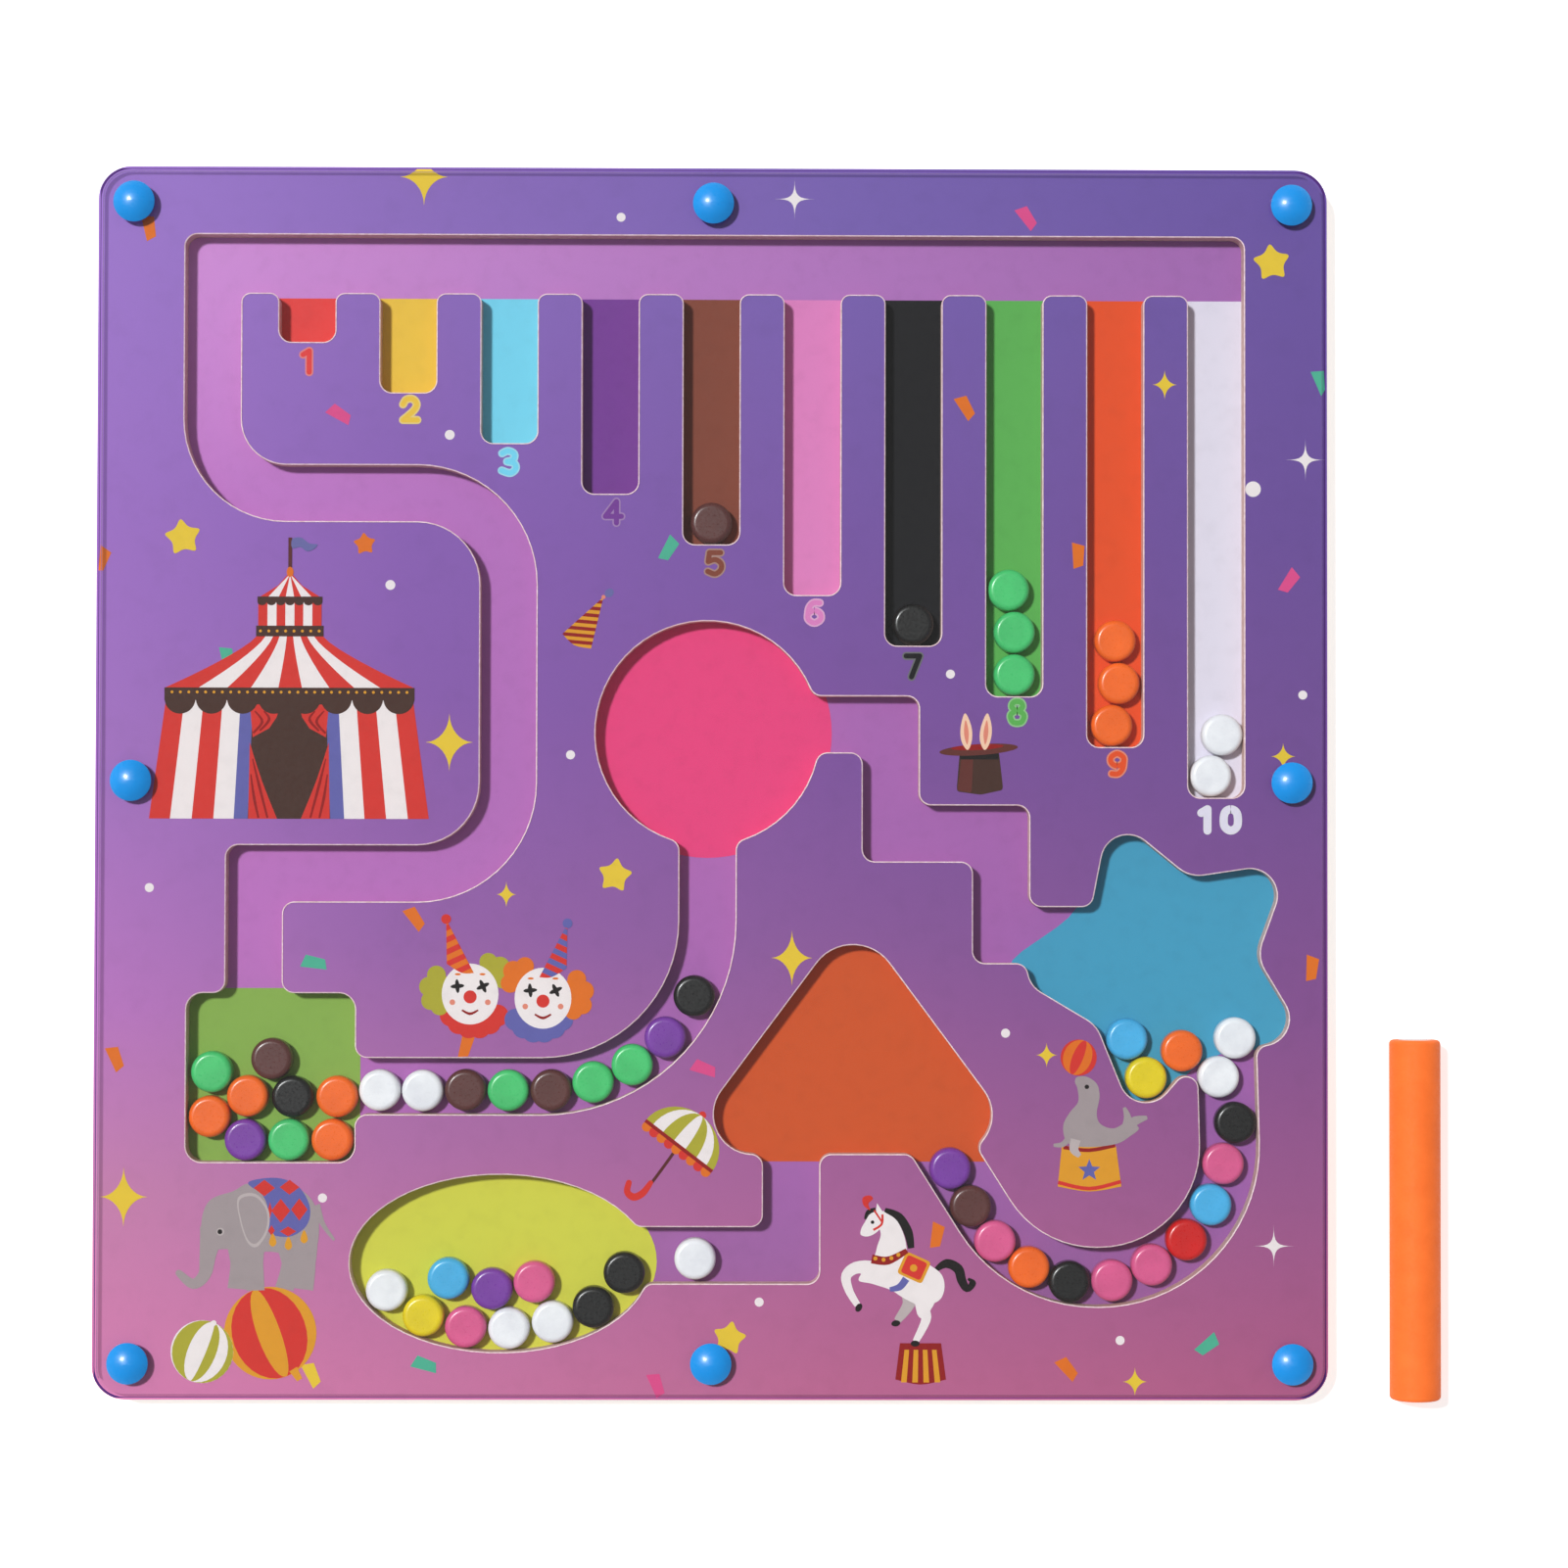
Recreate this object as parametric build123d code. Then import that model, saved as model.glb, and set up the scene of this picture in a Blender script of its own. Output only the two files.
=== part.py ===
from build123d import *
import os

os.makedirs("parts", exist_ok=True)

# Magnetic maze board: round steel-cored beads are led by a magnetic pen, through a clear cover, along
# channels between a corridor with ten sorting slots and five shaped rooms.
# Millimetres. The board lies face up on z = 0 with its centre at the origin; +Y is towards the corridor.

# ---------------------------------------------------------------- driving dimensions
board_side = 300.0
board_corner_radius = 8.0
base_thickness = 3.0
channel_depth = 5.0          # thickness of the board that the maze is cut through
print_gap = 0.2              # room for the printed film between channel board and cover
cover_thickness = 2.0
cover_inset = 1.4            # the cover's edge lies this far inside the board's edge

bead_diameter = 10.1
bead_height = 4.2
bead_float = 0.1             # running clearance under a bead
bead_gap = 0.3               # clearance between a bead and its neighbour or a wall
bead_top_radius = 1.3
bead_bottom_radius = 0.5
disc_diameter = 6.6          # steel disc inside a bead
disc_height = 2.0
disc_clearance = 0.1

channel_clearance = 3.6      # a channel or slot is this much wider than a bead
wide_clearance = 4.2         # the same for the corridor and the U-bend
corner_radius = 3.0          # rounded corners left by the cutter
tooth_radius = 2.3           # rounded tops of the teeth between the slots

rivet_inset = 9.0            # rivet axis from the board's edge
dome_diameter = 10.0
dome_height = 2.5
dome_edge = 0.5              # upright edge under the dome
post_diameter = 4.2
post_clearance = 0.1         # radial, in the sleeve and in the cover
sleeve_diameter = 7.0
sleeve_clearance = 0.2       # radial, in the boards
socket_flange_diameter = 10.0
socket_flange_thickness = 1.2
socket_recess = 0.2          # the flange lies this deep inside the back face
sleeve_top_gap = 1.0         # the sleeve stops this far below the cover
post_tip_gap = 0.6           # the post stops this far above the back face

pen_diameter = 12.4
pen_length = 87.5
pen_edge_radius = 1.0
pen_side_gap = 15.3          # between the board's edge and the pen lying beside it
magnet_diameter = 8.0
magnet_length = 6.0
magnet_clearance = 0.1

# ---------------------------------------------------------------- layout drawing
# The maze is drawn on a board 300 units across. One unit is `grid` millimetres, so the drawing grows
# with the board, while widths and clearances keep their own sizes.
grid = board_side / 300.0

slot_count = 10
slot_pitch = 24.65 * grid
first_slot_x = -99.0 * grid
first_slot_bottom = 107.1 * grid
slot_step = 12.3 * grid      # each slot is this much longer than the one before
corridor_y = 126.25 * grid

circle_centre = (-1.2 * grid, 11.9 * grid)
circle_radius = 27.3 * grid

green_room_centre = (-107.1 * grid, -72.05 * grid)
green_room_size = 41.0 * grid
green_room_corner_radius = 4.0 * grid

ellipse_centre = (-51.3 * grid, -117.0 * grid)
ellipse_half_length = 36.4 * grid
ellipse_half_width = 21.5 * grid

triangle_apex = (34.35 * grid, -32.2 * grid)
triangle_base_y = -90.4 * grid
triangle_half_base = 43.3 * grid
triangle_apex_radius = 11.0 * grid
triangle_base_radius = 9.6 * grid

star_centre = (110.5 * grid, -44.5 * grid)
star_arm_angles = (110.0, 181.5, 260.0, 331.5, 399.5)    # directions of the arms, in degrees
star_tip_radius = 39.5 * grid    # to the arm's point before rounding
star_valley_radius = 22.2 * grid
star_tip_rounding = 6.5 * grid
star_valley_rounding = 8.0 * grid

# ---------------------------------------------------------------- tolerances of the drawing
same_point = 1e-3            # points closer than this are one point
corner_turn = 8.0            # an outline that turns by less than this many degrees is smooth
queue_step = 0.03            # a queued bead is pushed back by this much at a time
settle_rounds = 200          # most times that crowded beads are eased apart

# ---------------------------------------------------------------- derived sizes
channel_width = bead_diameter + channel_clearance
wide_width = bead_diameter + wide_clearance
bead_radius = bead_diameter / 2
bead_pitch = bead_diameter + bead_gap

floor_z = base_thickness
channel_top_z = floor_z + channel_depth
cover_bottom_z = channel_top_z + print_gap
cover_top_z = cover_bottom_z + cover_thickness
bead_z = floor_z + bead_float

corridor_bottom = corridor_y - wide_width / 2
post_hole_radius = post_diameter / 2 + post_clearance
sleeve_hole_radius = sleeve_diameter / 2 + sleeve_clearance
socket_pocket_radius = socket_flange_diameter / 2 + sleeve_clearance
socket_pocket_depth = socket_recess + socket_flange_thickness

rivet_reach = board_side / 2 - rivet_inset
rivet_places = [
    (x, y)
    for x in (-rivet_reach, 0, rivet_reach)
    for y in (-rivet_reach, 0, rivet_reach)
    if (x, y) != (0, 0)
]


def units(*points):
    """Points of the layout drawing in millimetres."""
    return [(x * grid, y * grid) for x, y in points]


# ---------------------------------------------------------------- centre-lines of the channels
def slot_x(number):
    return first_slot_x + (number - 1) * slot_pitch


def slot_bottom(number):
    return first_slot_bottom - (number - 1) * slot_step


def slot_path(number):
    """From a slot's closed end up into the corridor."""
    return Line((slot_x(number), slot_bottom(number)), (slot_x(number), corridor_y))


winding_corners = units(
    (-121.95, 126.25), (-121.95, 70.2), (-49.75, 70.2), (-49.75, -22.45), (-111.3, -22.45)
)
winding_radii = [18.0 * grid, 22.2 * grid, 22.1 * grid]
winding_path = FilletPolyline(*winding_corners, radius=winding_radii)
winding_drop = units((-111.3, -22.45), (-111.3, -60.0))

sweep_path = FilletPolyline(*units((-90.0, -74.1), (-1.1, -74.1), (-1.1, -8.0)), radius=40.3 * grid)

stair_corners = units(
    (15.0, 14.1), (43.5, 14.1), (43.5, -12.45), (70.4, -12.45), (70.4, -37.15), (96.0, -37.15)
)

u_bend_radius = 31.8 * grid
u_bend_path = FilletPolyline(
    *units((54.2, -86.0), (75.9, -120.2), (126.9, -120.2), (125.3, -62.0)), radius=u_bend_radius
)

foot_corners = units((19.4, -84.0), (19.4, -115.0), (-30.0, -115.0))


# ---------------------------------------------------------------- the maze outline
def smooth_channel(path, width):
    """A channel of constant width along a centre-line without corners."""
    return trace(path, line_width=width)


def square_channel(points, width):
    """A channel along square corners: straight legs, each long enough to fill its corners."""
    legs = Sketch()
    for start, end in zip(points, points[1:]):
        middle = ((start[0] + end[0]) / 2, (start[1] + end[1]) / 2)
        length_x = abs(end[0] - start[0]) + width
        length_y = abs(end[1] - start[1]) + width
        legs += Pos(*middle) * Rectangle(length_x, length_y)
    return legs


def round_points(face, points, radius):
    """Round the corners of a face that lie at the given points."""
    return fillet([face.vertices().sort_by_distance(point)[0] for point in points], radius)


def corridor():
    """From the outer wall of the winding channel to the outer wall of the last slot."""
    left = winding_corners[0][0] - channel_width / 2
    right = slot_x(slot_count) + channel_width / 2
    return Pos((left + right) / 2, corridor_y) * Rectangle(right - left, wide_width)


def slots():
    rows = Sketch()
    for number in range(1, slot_count + 1):
        length = corridor_y - slot_bottom(number)
        rows += Pos(slot_x(number), slot_bottom(number) + length / 2) * Rectangle(channel_width, length)
    return rows


def triangle_room():
    base = [(triangle_apex[0] + side * triangle_half_base, triangle_base_y) for side in (-1, 1)]
    room = round_points(Polygon(*base, triangle_apex, align=None), [triangle_apex], triangle_apex_radius)
    return round_points(room, base, triangle_base_radius)


def star_room():
    middle = Vector(*star_centre)
    following = star_arm_angles[1:] + (star_arm_angles[0] + 360,)
    tips, points = [], []
    for angle, next_angle in zip(star_arm_angles, following):
        tips.append(middle + Vector(star_tip_radius, 0).rotate(Axis.Z, angle))
        valley = middle + Vector(star_valley_radius, 0).rotate(Axis.Z, (angle + next_angle) / 2)
        points += [tips[-1], valley]
    return round_points(Polygon(*points, align=None), tips, star_tip_rounding)


def sharp_corners(face):
    """Points where the outline turns by more than a few degrees."""
    corners = []
    edges = face.edges()
    for vertex in face.vertices():
        spot = Vector(vertex)
        starting = [edge % 0 for edge in edges if (edge @ 0 - spot).length < same_point]
        ending = [edge % 1 for edge in edges if (edge @ 1 - spot).length < same_point]
        turn = (starting + ending)[0].get_angle((starting + ending)[1])
        if min(turn, 180 - turn) > corner_turn:
            corners.append(spot)
    return corners


def round_uprights(solid, corners, radius):
    """Round the upright edges of a solid that stand on the given corners."""
    chosen = []
    for edge in solid.edges().filter_by(Axis.Z):
        foot = Vector((edge @ 0).X, (edge @ 0).Y)
        if any((foot - corner).length < same_point for corner in corners):
            chosen.append(edge)
    return fillet(chosen, radius)


def maze_outline():
    """The whole cut-out as one face, still with sharp corners where its pieces meet."""
    face = corridor() + slots()
    face += smooth_channel(winding_path, channel_width)
    face += square_channel(winding_drop, channel_width)
    green_room = RectangleRounded(green_room_size, green_room_size, green_room_corner_radius)
    face += Pos(*green_room_centre) * green_room
    face += smooth_channel(sweep_path, channel_width)
    face += Pos(*circle_centre) * Circle(circle_radius)
    face += square_channel(stair_corners, channel_width)
    face += star_room()
    face += smooth_channel(u_bend_path, wide_width)
    face += triangle_room()
    face += square_channel(foot_corners, channel_width)
    return face + Pos(*ellipse_centre) * Ellipse(ellipse_half_length, ellipse_half_width)


def maze_cut():
    """The maze as a solid to cut away, with every corner rounded as a cutter leaves it."""
    outline = maze_outline()
    corners = sharp_corners(outline)
    teeth = [corner for corner in corners if abs(corner.Y - corridor_bottom) < same_point]
    valleys = [
        corner
        for corner in corners
        if abs((corner - Vector(*star_centre)).length - star_valley_radius) < same_point
    ]
    others = [corner for corner in corners if corner not in teeth and corner not in valleys]
    cut = Pos(0, 0, floor_z) * extrude(outline, channel_depth)
    for points, radius in ((teeth, tooth_radius), (valleys, star_valley_rounding), (others, corner_radius)):
        cut = round_uprights(cut, points, radius)
    return cut


# ---------------------------------------------------------------- boards and cover
def plate(side, corner, bottom, thickness):
    return Pos(0, 0, bottom) * extrude(RectangleRounded(side, side, corner), thickness)


def holes(radius, bottom, height):
    return [Pos(x, y, bottom + height / 2) * Cylinder(radius, height) for x, y in rivet_places]


def base_board():
    board = plate(board_side, board_corner_radius, 0, base_thickness)
    board -= holes(sleeve_hole_radius, 0, base_thickness)
    return board - holes(socket_pocket_radius, 0, socket_pocket_depth)


def channel_board(maze):
    board = plate(board_side, board_corner_radius, floor_z, channel_depth)
    board -= maze
    return board - holes(sleeve_hole_radius, floor_z, channel_depth)


def clear_cover():
    side = board_side - 2 * cover_inset
    cover = plate(side, board_corner_radius - cover_inset, cover_bottom_z, cover_thickness)
    return cover - holes(post_hole_radius, cover_bottom_z, cover_thickness)


# ---------------------------------------------------------------- snap rivets
def rivet_post():
    """Domed head on the cover with the post that snaps into the socket."""
    rise = dome_height - dome_edge
    half = dome_diameter / 2
    sphere_radius = (half**2 + rise**2) / (2 * rise)
    dome = Pos(0, 0, cover_top_z + dome_height - sphere_radius) * Sphere(sphere_radius)
    head = Pos(0, 0, cover_top_z + dome_height / 2) * Cylinder(half, dome_height)
    length = cover_top_z - post_tip_gap
    post = Pos(0, 0, post_tip_gap + length / 2) * Cylinder(post_diameter / 2, length)
    return (head & dome) + post


def rivet_socket():
    """Flanged sleeve let into the back face."""
    top = cover_bottom_z - sleeve_top_gap
    flange = Pos(0, 0, socket_recess + socket_flange_thickness / 2) * Cylinder(
        socket_flange_diameter / 2, socket_flange_thickness
    )
    sleeve = Pos(0, 0, (socket_recess + top) / 2) * Cylinder(sleeve_diameter / 2, top - socket_recess)
    bore = Pos(0, 0, top / 2) * Cylinder(post_hole_radius, top)
    return flange + sleeve - bore


def snap_rivets():
    post, socket = rivet_post(), rivet_socket()
    return Compound([Pos(x, y) * piece for x, y in rivet_places for piece in (post, socket)])


# ---------------------------------------------------------------- magnetic pen
def magnet_pen():
    """A round stick lying along Y beside the board, with a magnet let into its upper end."""
    stick = Cylinder(pen_diameter / 2, pen_length)
    stick = fillet(stick.edges().filter_by(GeomType.CIRCLE), pen_edge_radius)
    pocket_length = magnet_length + magnet_clearance
    pocket = Cylinder(magnet_diameter / 2 + magnet_clearance, pocket_length)
    stick -= Pos(0, 0, (pen_length - pocket_length) / 2) * pocket
    magnet = Pos(0, 0, (pen_length - magnet_length) / 2) * Cylinder(magnet_diameter / 2, magnet_length)
    lying = Rot(-90, 0, 0)
    pen_radius = pen_diameter / 2
    place = Pos(board_side / 2 + pen_side_gap + pen_radius, (pen_length - board_side) / 2, pen_radius)
    return Compound([place * lying * stick, place * lying * magnet])


# ---------------------------------------------------------------- beads
def bead():
    """A glossy plastic cap with a steel disc in the pocket underneath."""
    cap = Pos(0, 0, bead_height / 2) * Cylinder(bead_radius, bead_height)
    rims = cap.edges().filter_by(GeomType.CIRCLE).sort_by(Axis.Z)
    cap = fillet(rims[-1], bead_top_radius)
    cap = fillet(cap.edges().filter_by(GeomType.CIRCLE).sort_by(Axis.Z)[0], bead_bottom_radius)
    pocket_height = disc_height + 2 * disc_clearance
    cap -= Pos(0, 0, pocket_height / 2) * Cylinder(disc_diameter / 2 + disc_clearance, pocket_height)
    disc = Pos(0, 0, disc_clearance + disc_height / 2) * Cylinder(disc_diameter / 2, disc_height)
    return Compound([cap, disc])


def beside(path, distance, lean, width):
    """A point along a channel; lean runs from -1, against its right-hand wall, to 1, against its left.
    Past its end the centre-line runs straight on."""
    along = min(distance, path.length)
    ahead = path.tangent_at(along, position_mode=PositionMode.LENGTH)
    spot = path.position_at(along, position_mode=PositionMode.LENGTH) + ahead * (distance - along)
    play = (width - bead_diameter - bead_gap) / 2
    return spot + Vector(-ahead.Y, ahead.X) * lean * play


def queue(path, start, width, beads):
    """Beads one behind another along a channel, each just clear of the one before."""
    distance, placed = start, []
    for colour, lean in beads:
        spot = beside(path, distance, lean, width)
        while placed and (spot - placed[-1][1]).length < bead_pitch:
            distance += queue_step
            spot = beside(path, distance, lean, width)
        placed.append((colour, spot))
    return placed


def cluster(centre, beads):
    """Beads lying loose in a room, placed in bead pitches from its centre."""
    middle = Vector(*centre)
    return [(colour, middle + Vector(x, y) * bead_pitch) for colour, x, y in beads]


slot_beads = {
    5: [("brown", 0.0)],
    7: [("black", 0.0)],
    8: [("green", -0.1), ("green", -0.1), ("green", 0.75)],
    9: [("orange", 0.4), ("orange", -0.65), ("orange", -0.1)],
    10: [("white", 0.65), ("white", -1.0)],
}
sweep_start = 9.3 * grid
sweep_beads = [
    ("white", -0.65), ("white", -0.7), ("brown", -0.6), ("green", -0.65), ("brown", -0.65),
    ("green", -0.6), ("green", -0.7), ("purple", -0.65),
]
sweep_leader_gap = 0.9       # the first bead has run this far ahead of the others
u_bend_start = 8.9 * grid
u_bend_beads = [
    ("purple", -0.5), ("brown", -0.85), ("pink", -0.95), ("orange", -0.95), ("black", -0.95), ("pink", -0.6),
    ("pink", 0.0), ("red", 0.2), ("blue", 0.4), ("pink", 0.5), ("black", -0.9),
]
green_room_beads = [
    ("green", -1.39, 0.12), ("brown", 0.01, 0.43), ("orange", -0.55, -0.44), ("black", 0.50, -0.455),
    ("orange", 1.54, -0.45), ("orange", -1.44, -0.92), ("purple", -0.60, -1.465), ("green", 0.42, -1.46),
    ("orange", 1.43, -1.46),
]
ellipse_beads = [
    ("white", -2.65, -0.65), ("yellow", -1.79, -1.24), ("blue", -1.21, -0.37), ("pink", -0.80, -1.50),
    ("purple", -0.19, -0.61), ("white", 0.21, -1.53), ("pink", 0.80, -0.45), ("white", 1.23, -1.38),
    ("black", 2.18, -1.03), ("black", 2.90, -0.23),
]
star_beads = [
    ("white", 1.26, -2.61), ("white", 1.65, -1.70), ("orange", 0.40, -2.00), ("yellow", -0.44, -2.63),
    ("blue", -0.89, -1.73),
]
foot_bead_distance = 54.3 * grid     # along the channel between the triangle and the ellipse
foot_bead_offset = 1.0               # below that channel's centre-line


def settle(spots, maze):
    """Ease crowded beads apart and off the walls, until each has half a bead gap all round."""
    floor = Pos(0, 0, -floor_z) * maze.faces().sort_by(Axis.Z)[0]
    wall = floor.outer_wire()
    spots = list(spots)
    to_wall = bead_radius + bead_gap / 2
    to_bead = bead_diameter + bead_gap / 2
    for _ in range(settle_rounds):
        crowded = False
        for i, spot in enumerate(spots):
            for j, other in enumerate(spots[:i]):
                apart = spots[i] - other
                if apart.length < to_bead - same_point:
                    push = apart.normalized() * (to_bead - apart.length) / 2
                    spots[i], spots[j] = spots[i] + push, other - push
                    crowded = True
            reach, on_wall, _ = wall.distance_to_with_closest_points(spots[i])
            side = 1 if floor.is_inside(spots[i]) else -1
            if reach * side < to_wall - same_point:
                inwards = (spots[i] - on_wall).normalized() * side
                spots[i] = on_wall + inwards * to_wall
                crowded = True
        if not crowded:
            break
    return spots


def bead_places(maze):
    """Every bead as (colour, centre), in the order in which they are numbered."""
    places = []
    for number, stack in slot_beads.items():
        places += queue(slot_path(number), bead_radius + bead_gap, channel_width, stack)
    sweep = queue(sweep_path, sweep_start, channel_width, sweep_beads)
    places += sweep
    leader_start = sweep_start + (len(sweep_beads) - 1) * bead_pitch + bead_pitch + sweep_leader_gap
    places += queue(sweep_path, leader_start, channel_width, [("black", -0.65)])
    places += queue(u_bend_path, u_bend_start, wide_width, u_bend_beads)
    places += cluster(green_room_centre, green_room_beads)
    places += cluster(ellipse_centre, ellipse_beads)
    places += cluster(star_centre, star_beads)
    leg_y = foot_corners[1][1]
    leg_x = foot_corners[0][0] - (foot_bead_distance - abs(leg_y - foot_corners[0][1]))
    places.append(("white", Vector(leg_x, leg_y - foot_bead_offset)))
    spots = settle([spot for _, spot in places], maze)
    return [(colour, spot) for (colour, _), spot in zip(places, spots)]


def numbered_beads(maze):
    """Node name of each bead and its centre: bead_COLOUR_NUMBER."""
    counts, named = {}, {}
    for colour, spot in bead_places(maze):
        counts[colour] = counts.get(colour, 0) + 1
        named[f"bead_{colour}_{counts[colour]}"] = spot
    return named


# ---------------------------------------------------------------- build and export
maze = maze_cut()
beads = numbered_beads(maze)
export_step(base_board(), "parts/base_board.step")
export_step(channel_board(maze), "parts/channel_board.step")
export_step(clear_cover(), "parts/clear_cover.step")
export_step(snap_rivets(), "parts/snap_rivets.step")
export_step(magnet_pen(), "parts/magnet_pen.step")
one_bead = bead()
for name, spot in beads.items():
    export_step(Pos(spot.X, spot.Y, bead_z) * one_bead, f"parts/{name}.step")
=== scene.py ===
import math

import bmesh
import bpy
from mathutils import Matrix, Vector


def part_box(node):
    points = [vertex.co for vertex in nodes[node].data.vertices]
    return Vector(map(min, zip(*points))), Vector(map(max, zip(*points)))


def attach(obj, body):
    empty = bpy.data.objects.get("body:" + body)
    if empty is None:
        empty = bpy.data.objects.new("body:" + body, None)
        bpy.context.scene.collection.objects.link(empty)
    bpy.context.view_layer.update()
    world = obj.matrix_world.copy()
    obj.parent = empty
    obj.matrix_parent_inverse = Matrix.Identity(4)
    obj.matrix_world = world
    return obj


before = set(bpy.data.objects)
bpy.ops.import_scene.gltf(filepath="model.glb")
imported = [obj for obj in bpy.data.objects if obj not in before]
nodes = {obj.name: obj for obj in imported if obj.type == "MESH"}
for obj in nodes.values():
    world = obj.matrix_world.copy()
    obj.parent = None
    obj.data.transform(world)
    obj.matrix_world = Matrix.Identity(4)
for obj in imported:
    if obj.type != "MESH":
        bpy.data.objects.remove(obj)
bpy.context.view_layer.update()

# ---------------------------------------------------------------- sizes taken from the frame
board_low, board_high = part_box("channel_board")
cover_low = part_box("clear_cover")[0]
base_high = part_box("base_board")[1]
pen_low, pen_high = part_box("magnet_pen")

drawing_side = 300.0                 # the pictures are drawn on a board this many units across
print_reach = 149.5                  # the print stops just inside the rim
unit = (board_high.x - board_low.x) / drawing_side
centre_x = (board_low.x + board_high.x) / 2
centre_y = (board_low.y + board_high.y) / 2
floor_level = base_high.z            # the maze floor
top_level = board_high.z             # the printed face of the channel board
ink_film = (cover_low.z - top_level) / 8     # thickness of the first layer of ink
ink_hair = (cover_low.z - top_level) / 200   # each later ink of a picture is this much higher

# ---------------------------------------------------------------- colours, as they look on the finished board
# sRGB, 0 to 255
INKS = {
    "red": (214, 62, 56), "dark_red": (150, 34, 32), "white": (240, 232, 232), "cream": (246, 205, 176),
    "yellow": (232, 200, 66), "orange": (226, 118, 46), "amber": (224, 158, 52), "blue": (104, 104, 172),
    "brown": (78, 56, 50), "dark": (44, 36, 38), "grey": (166, 154, 156), "light_grey": (190, 178, 178),
    "olive": (176, 170, 62), "green": (84, 180, 150), "pink": (222, 84, 142), "rose": (226, 140, 120),
    "slate": (110, 110, 165), "maroon": (96, 52, 52), "hat": (104, 58, 54),
}
SLOT_INKS = [
    (228, 74, 72), (235, 196, 74), (122, 214, 240), (122, 68, 152), (134, 76, 62),
    (222, 134, 194), (38, 38, 43), (98, 178, 90), (230, 88, 50), (226, 222, 237),
]
ROOM_INKS = {
    "circle": (232, 76, 132), "green_room": (140, 178, 86), "ellipse": (211, 212, 82),
    "triangle": (209, 92, 52), "star_room": (76, 160, 194),
}
BEADS = {
    "green": (78, 200, 118), "orange": (250, 112, 44), "white": (240, 242, 248), "black": (30, 32, 36),
    "brown": (98, 62, 60), "pink": (222, 98, 148), "blue": (80, 180, 232), "yellow": (232, 210, 40),
    "purple": (126, 68, 166), "red": (214, 30, 34),
}
exposure = 1.06                      # how bright white paper looks in the studio's light
haze = 0.021                         # the little light that the cover mirrors over every colour


def linear(colour):
    """An sRGB colour from 0 to 255 as linear light with full alpha."""
    shares = [max(0, min(1, value / 255)) for value in colour]
    return (*[s / 12.92 if s <= 0.04045 else ((s + 0.055) / 1.055) ** 2.4 for s in shares], 1)


def under_cover(colour):
    """The paint that looks this colour when it is seen through the cover."""
    return (*[max(0.001, (part - haze) / exposure) for part in linear(colour)[:3]], 1)


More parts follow.
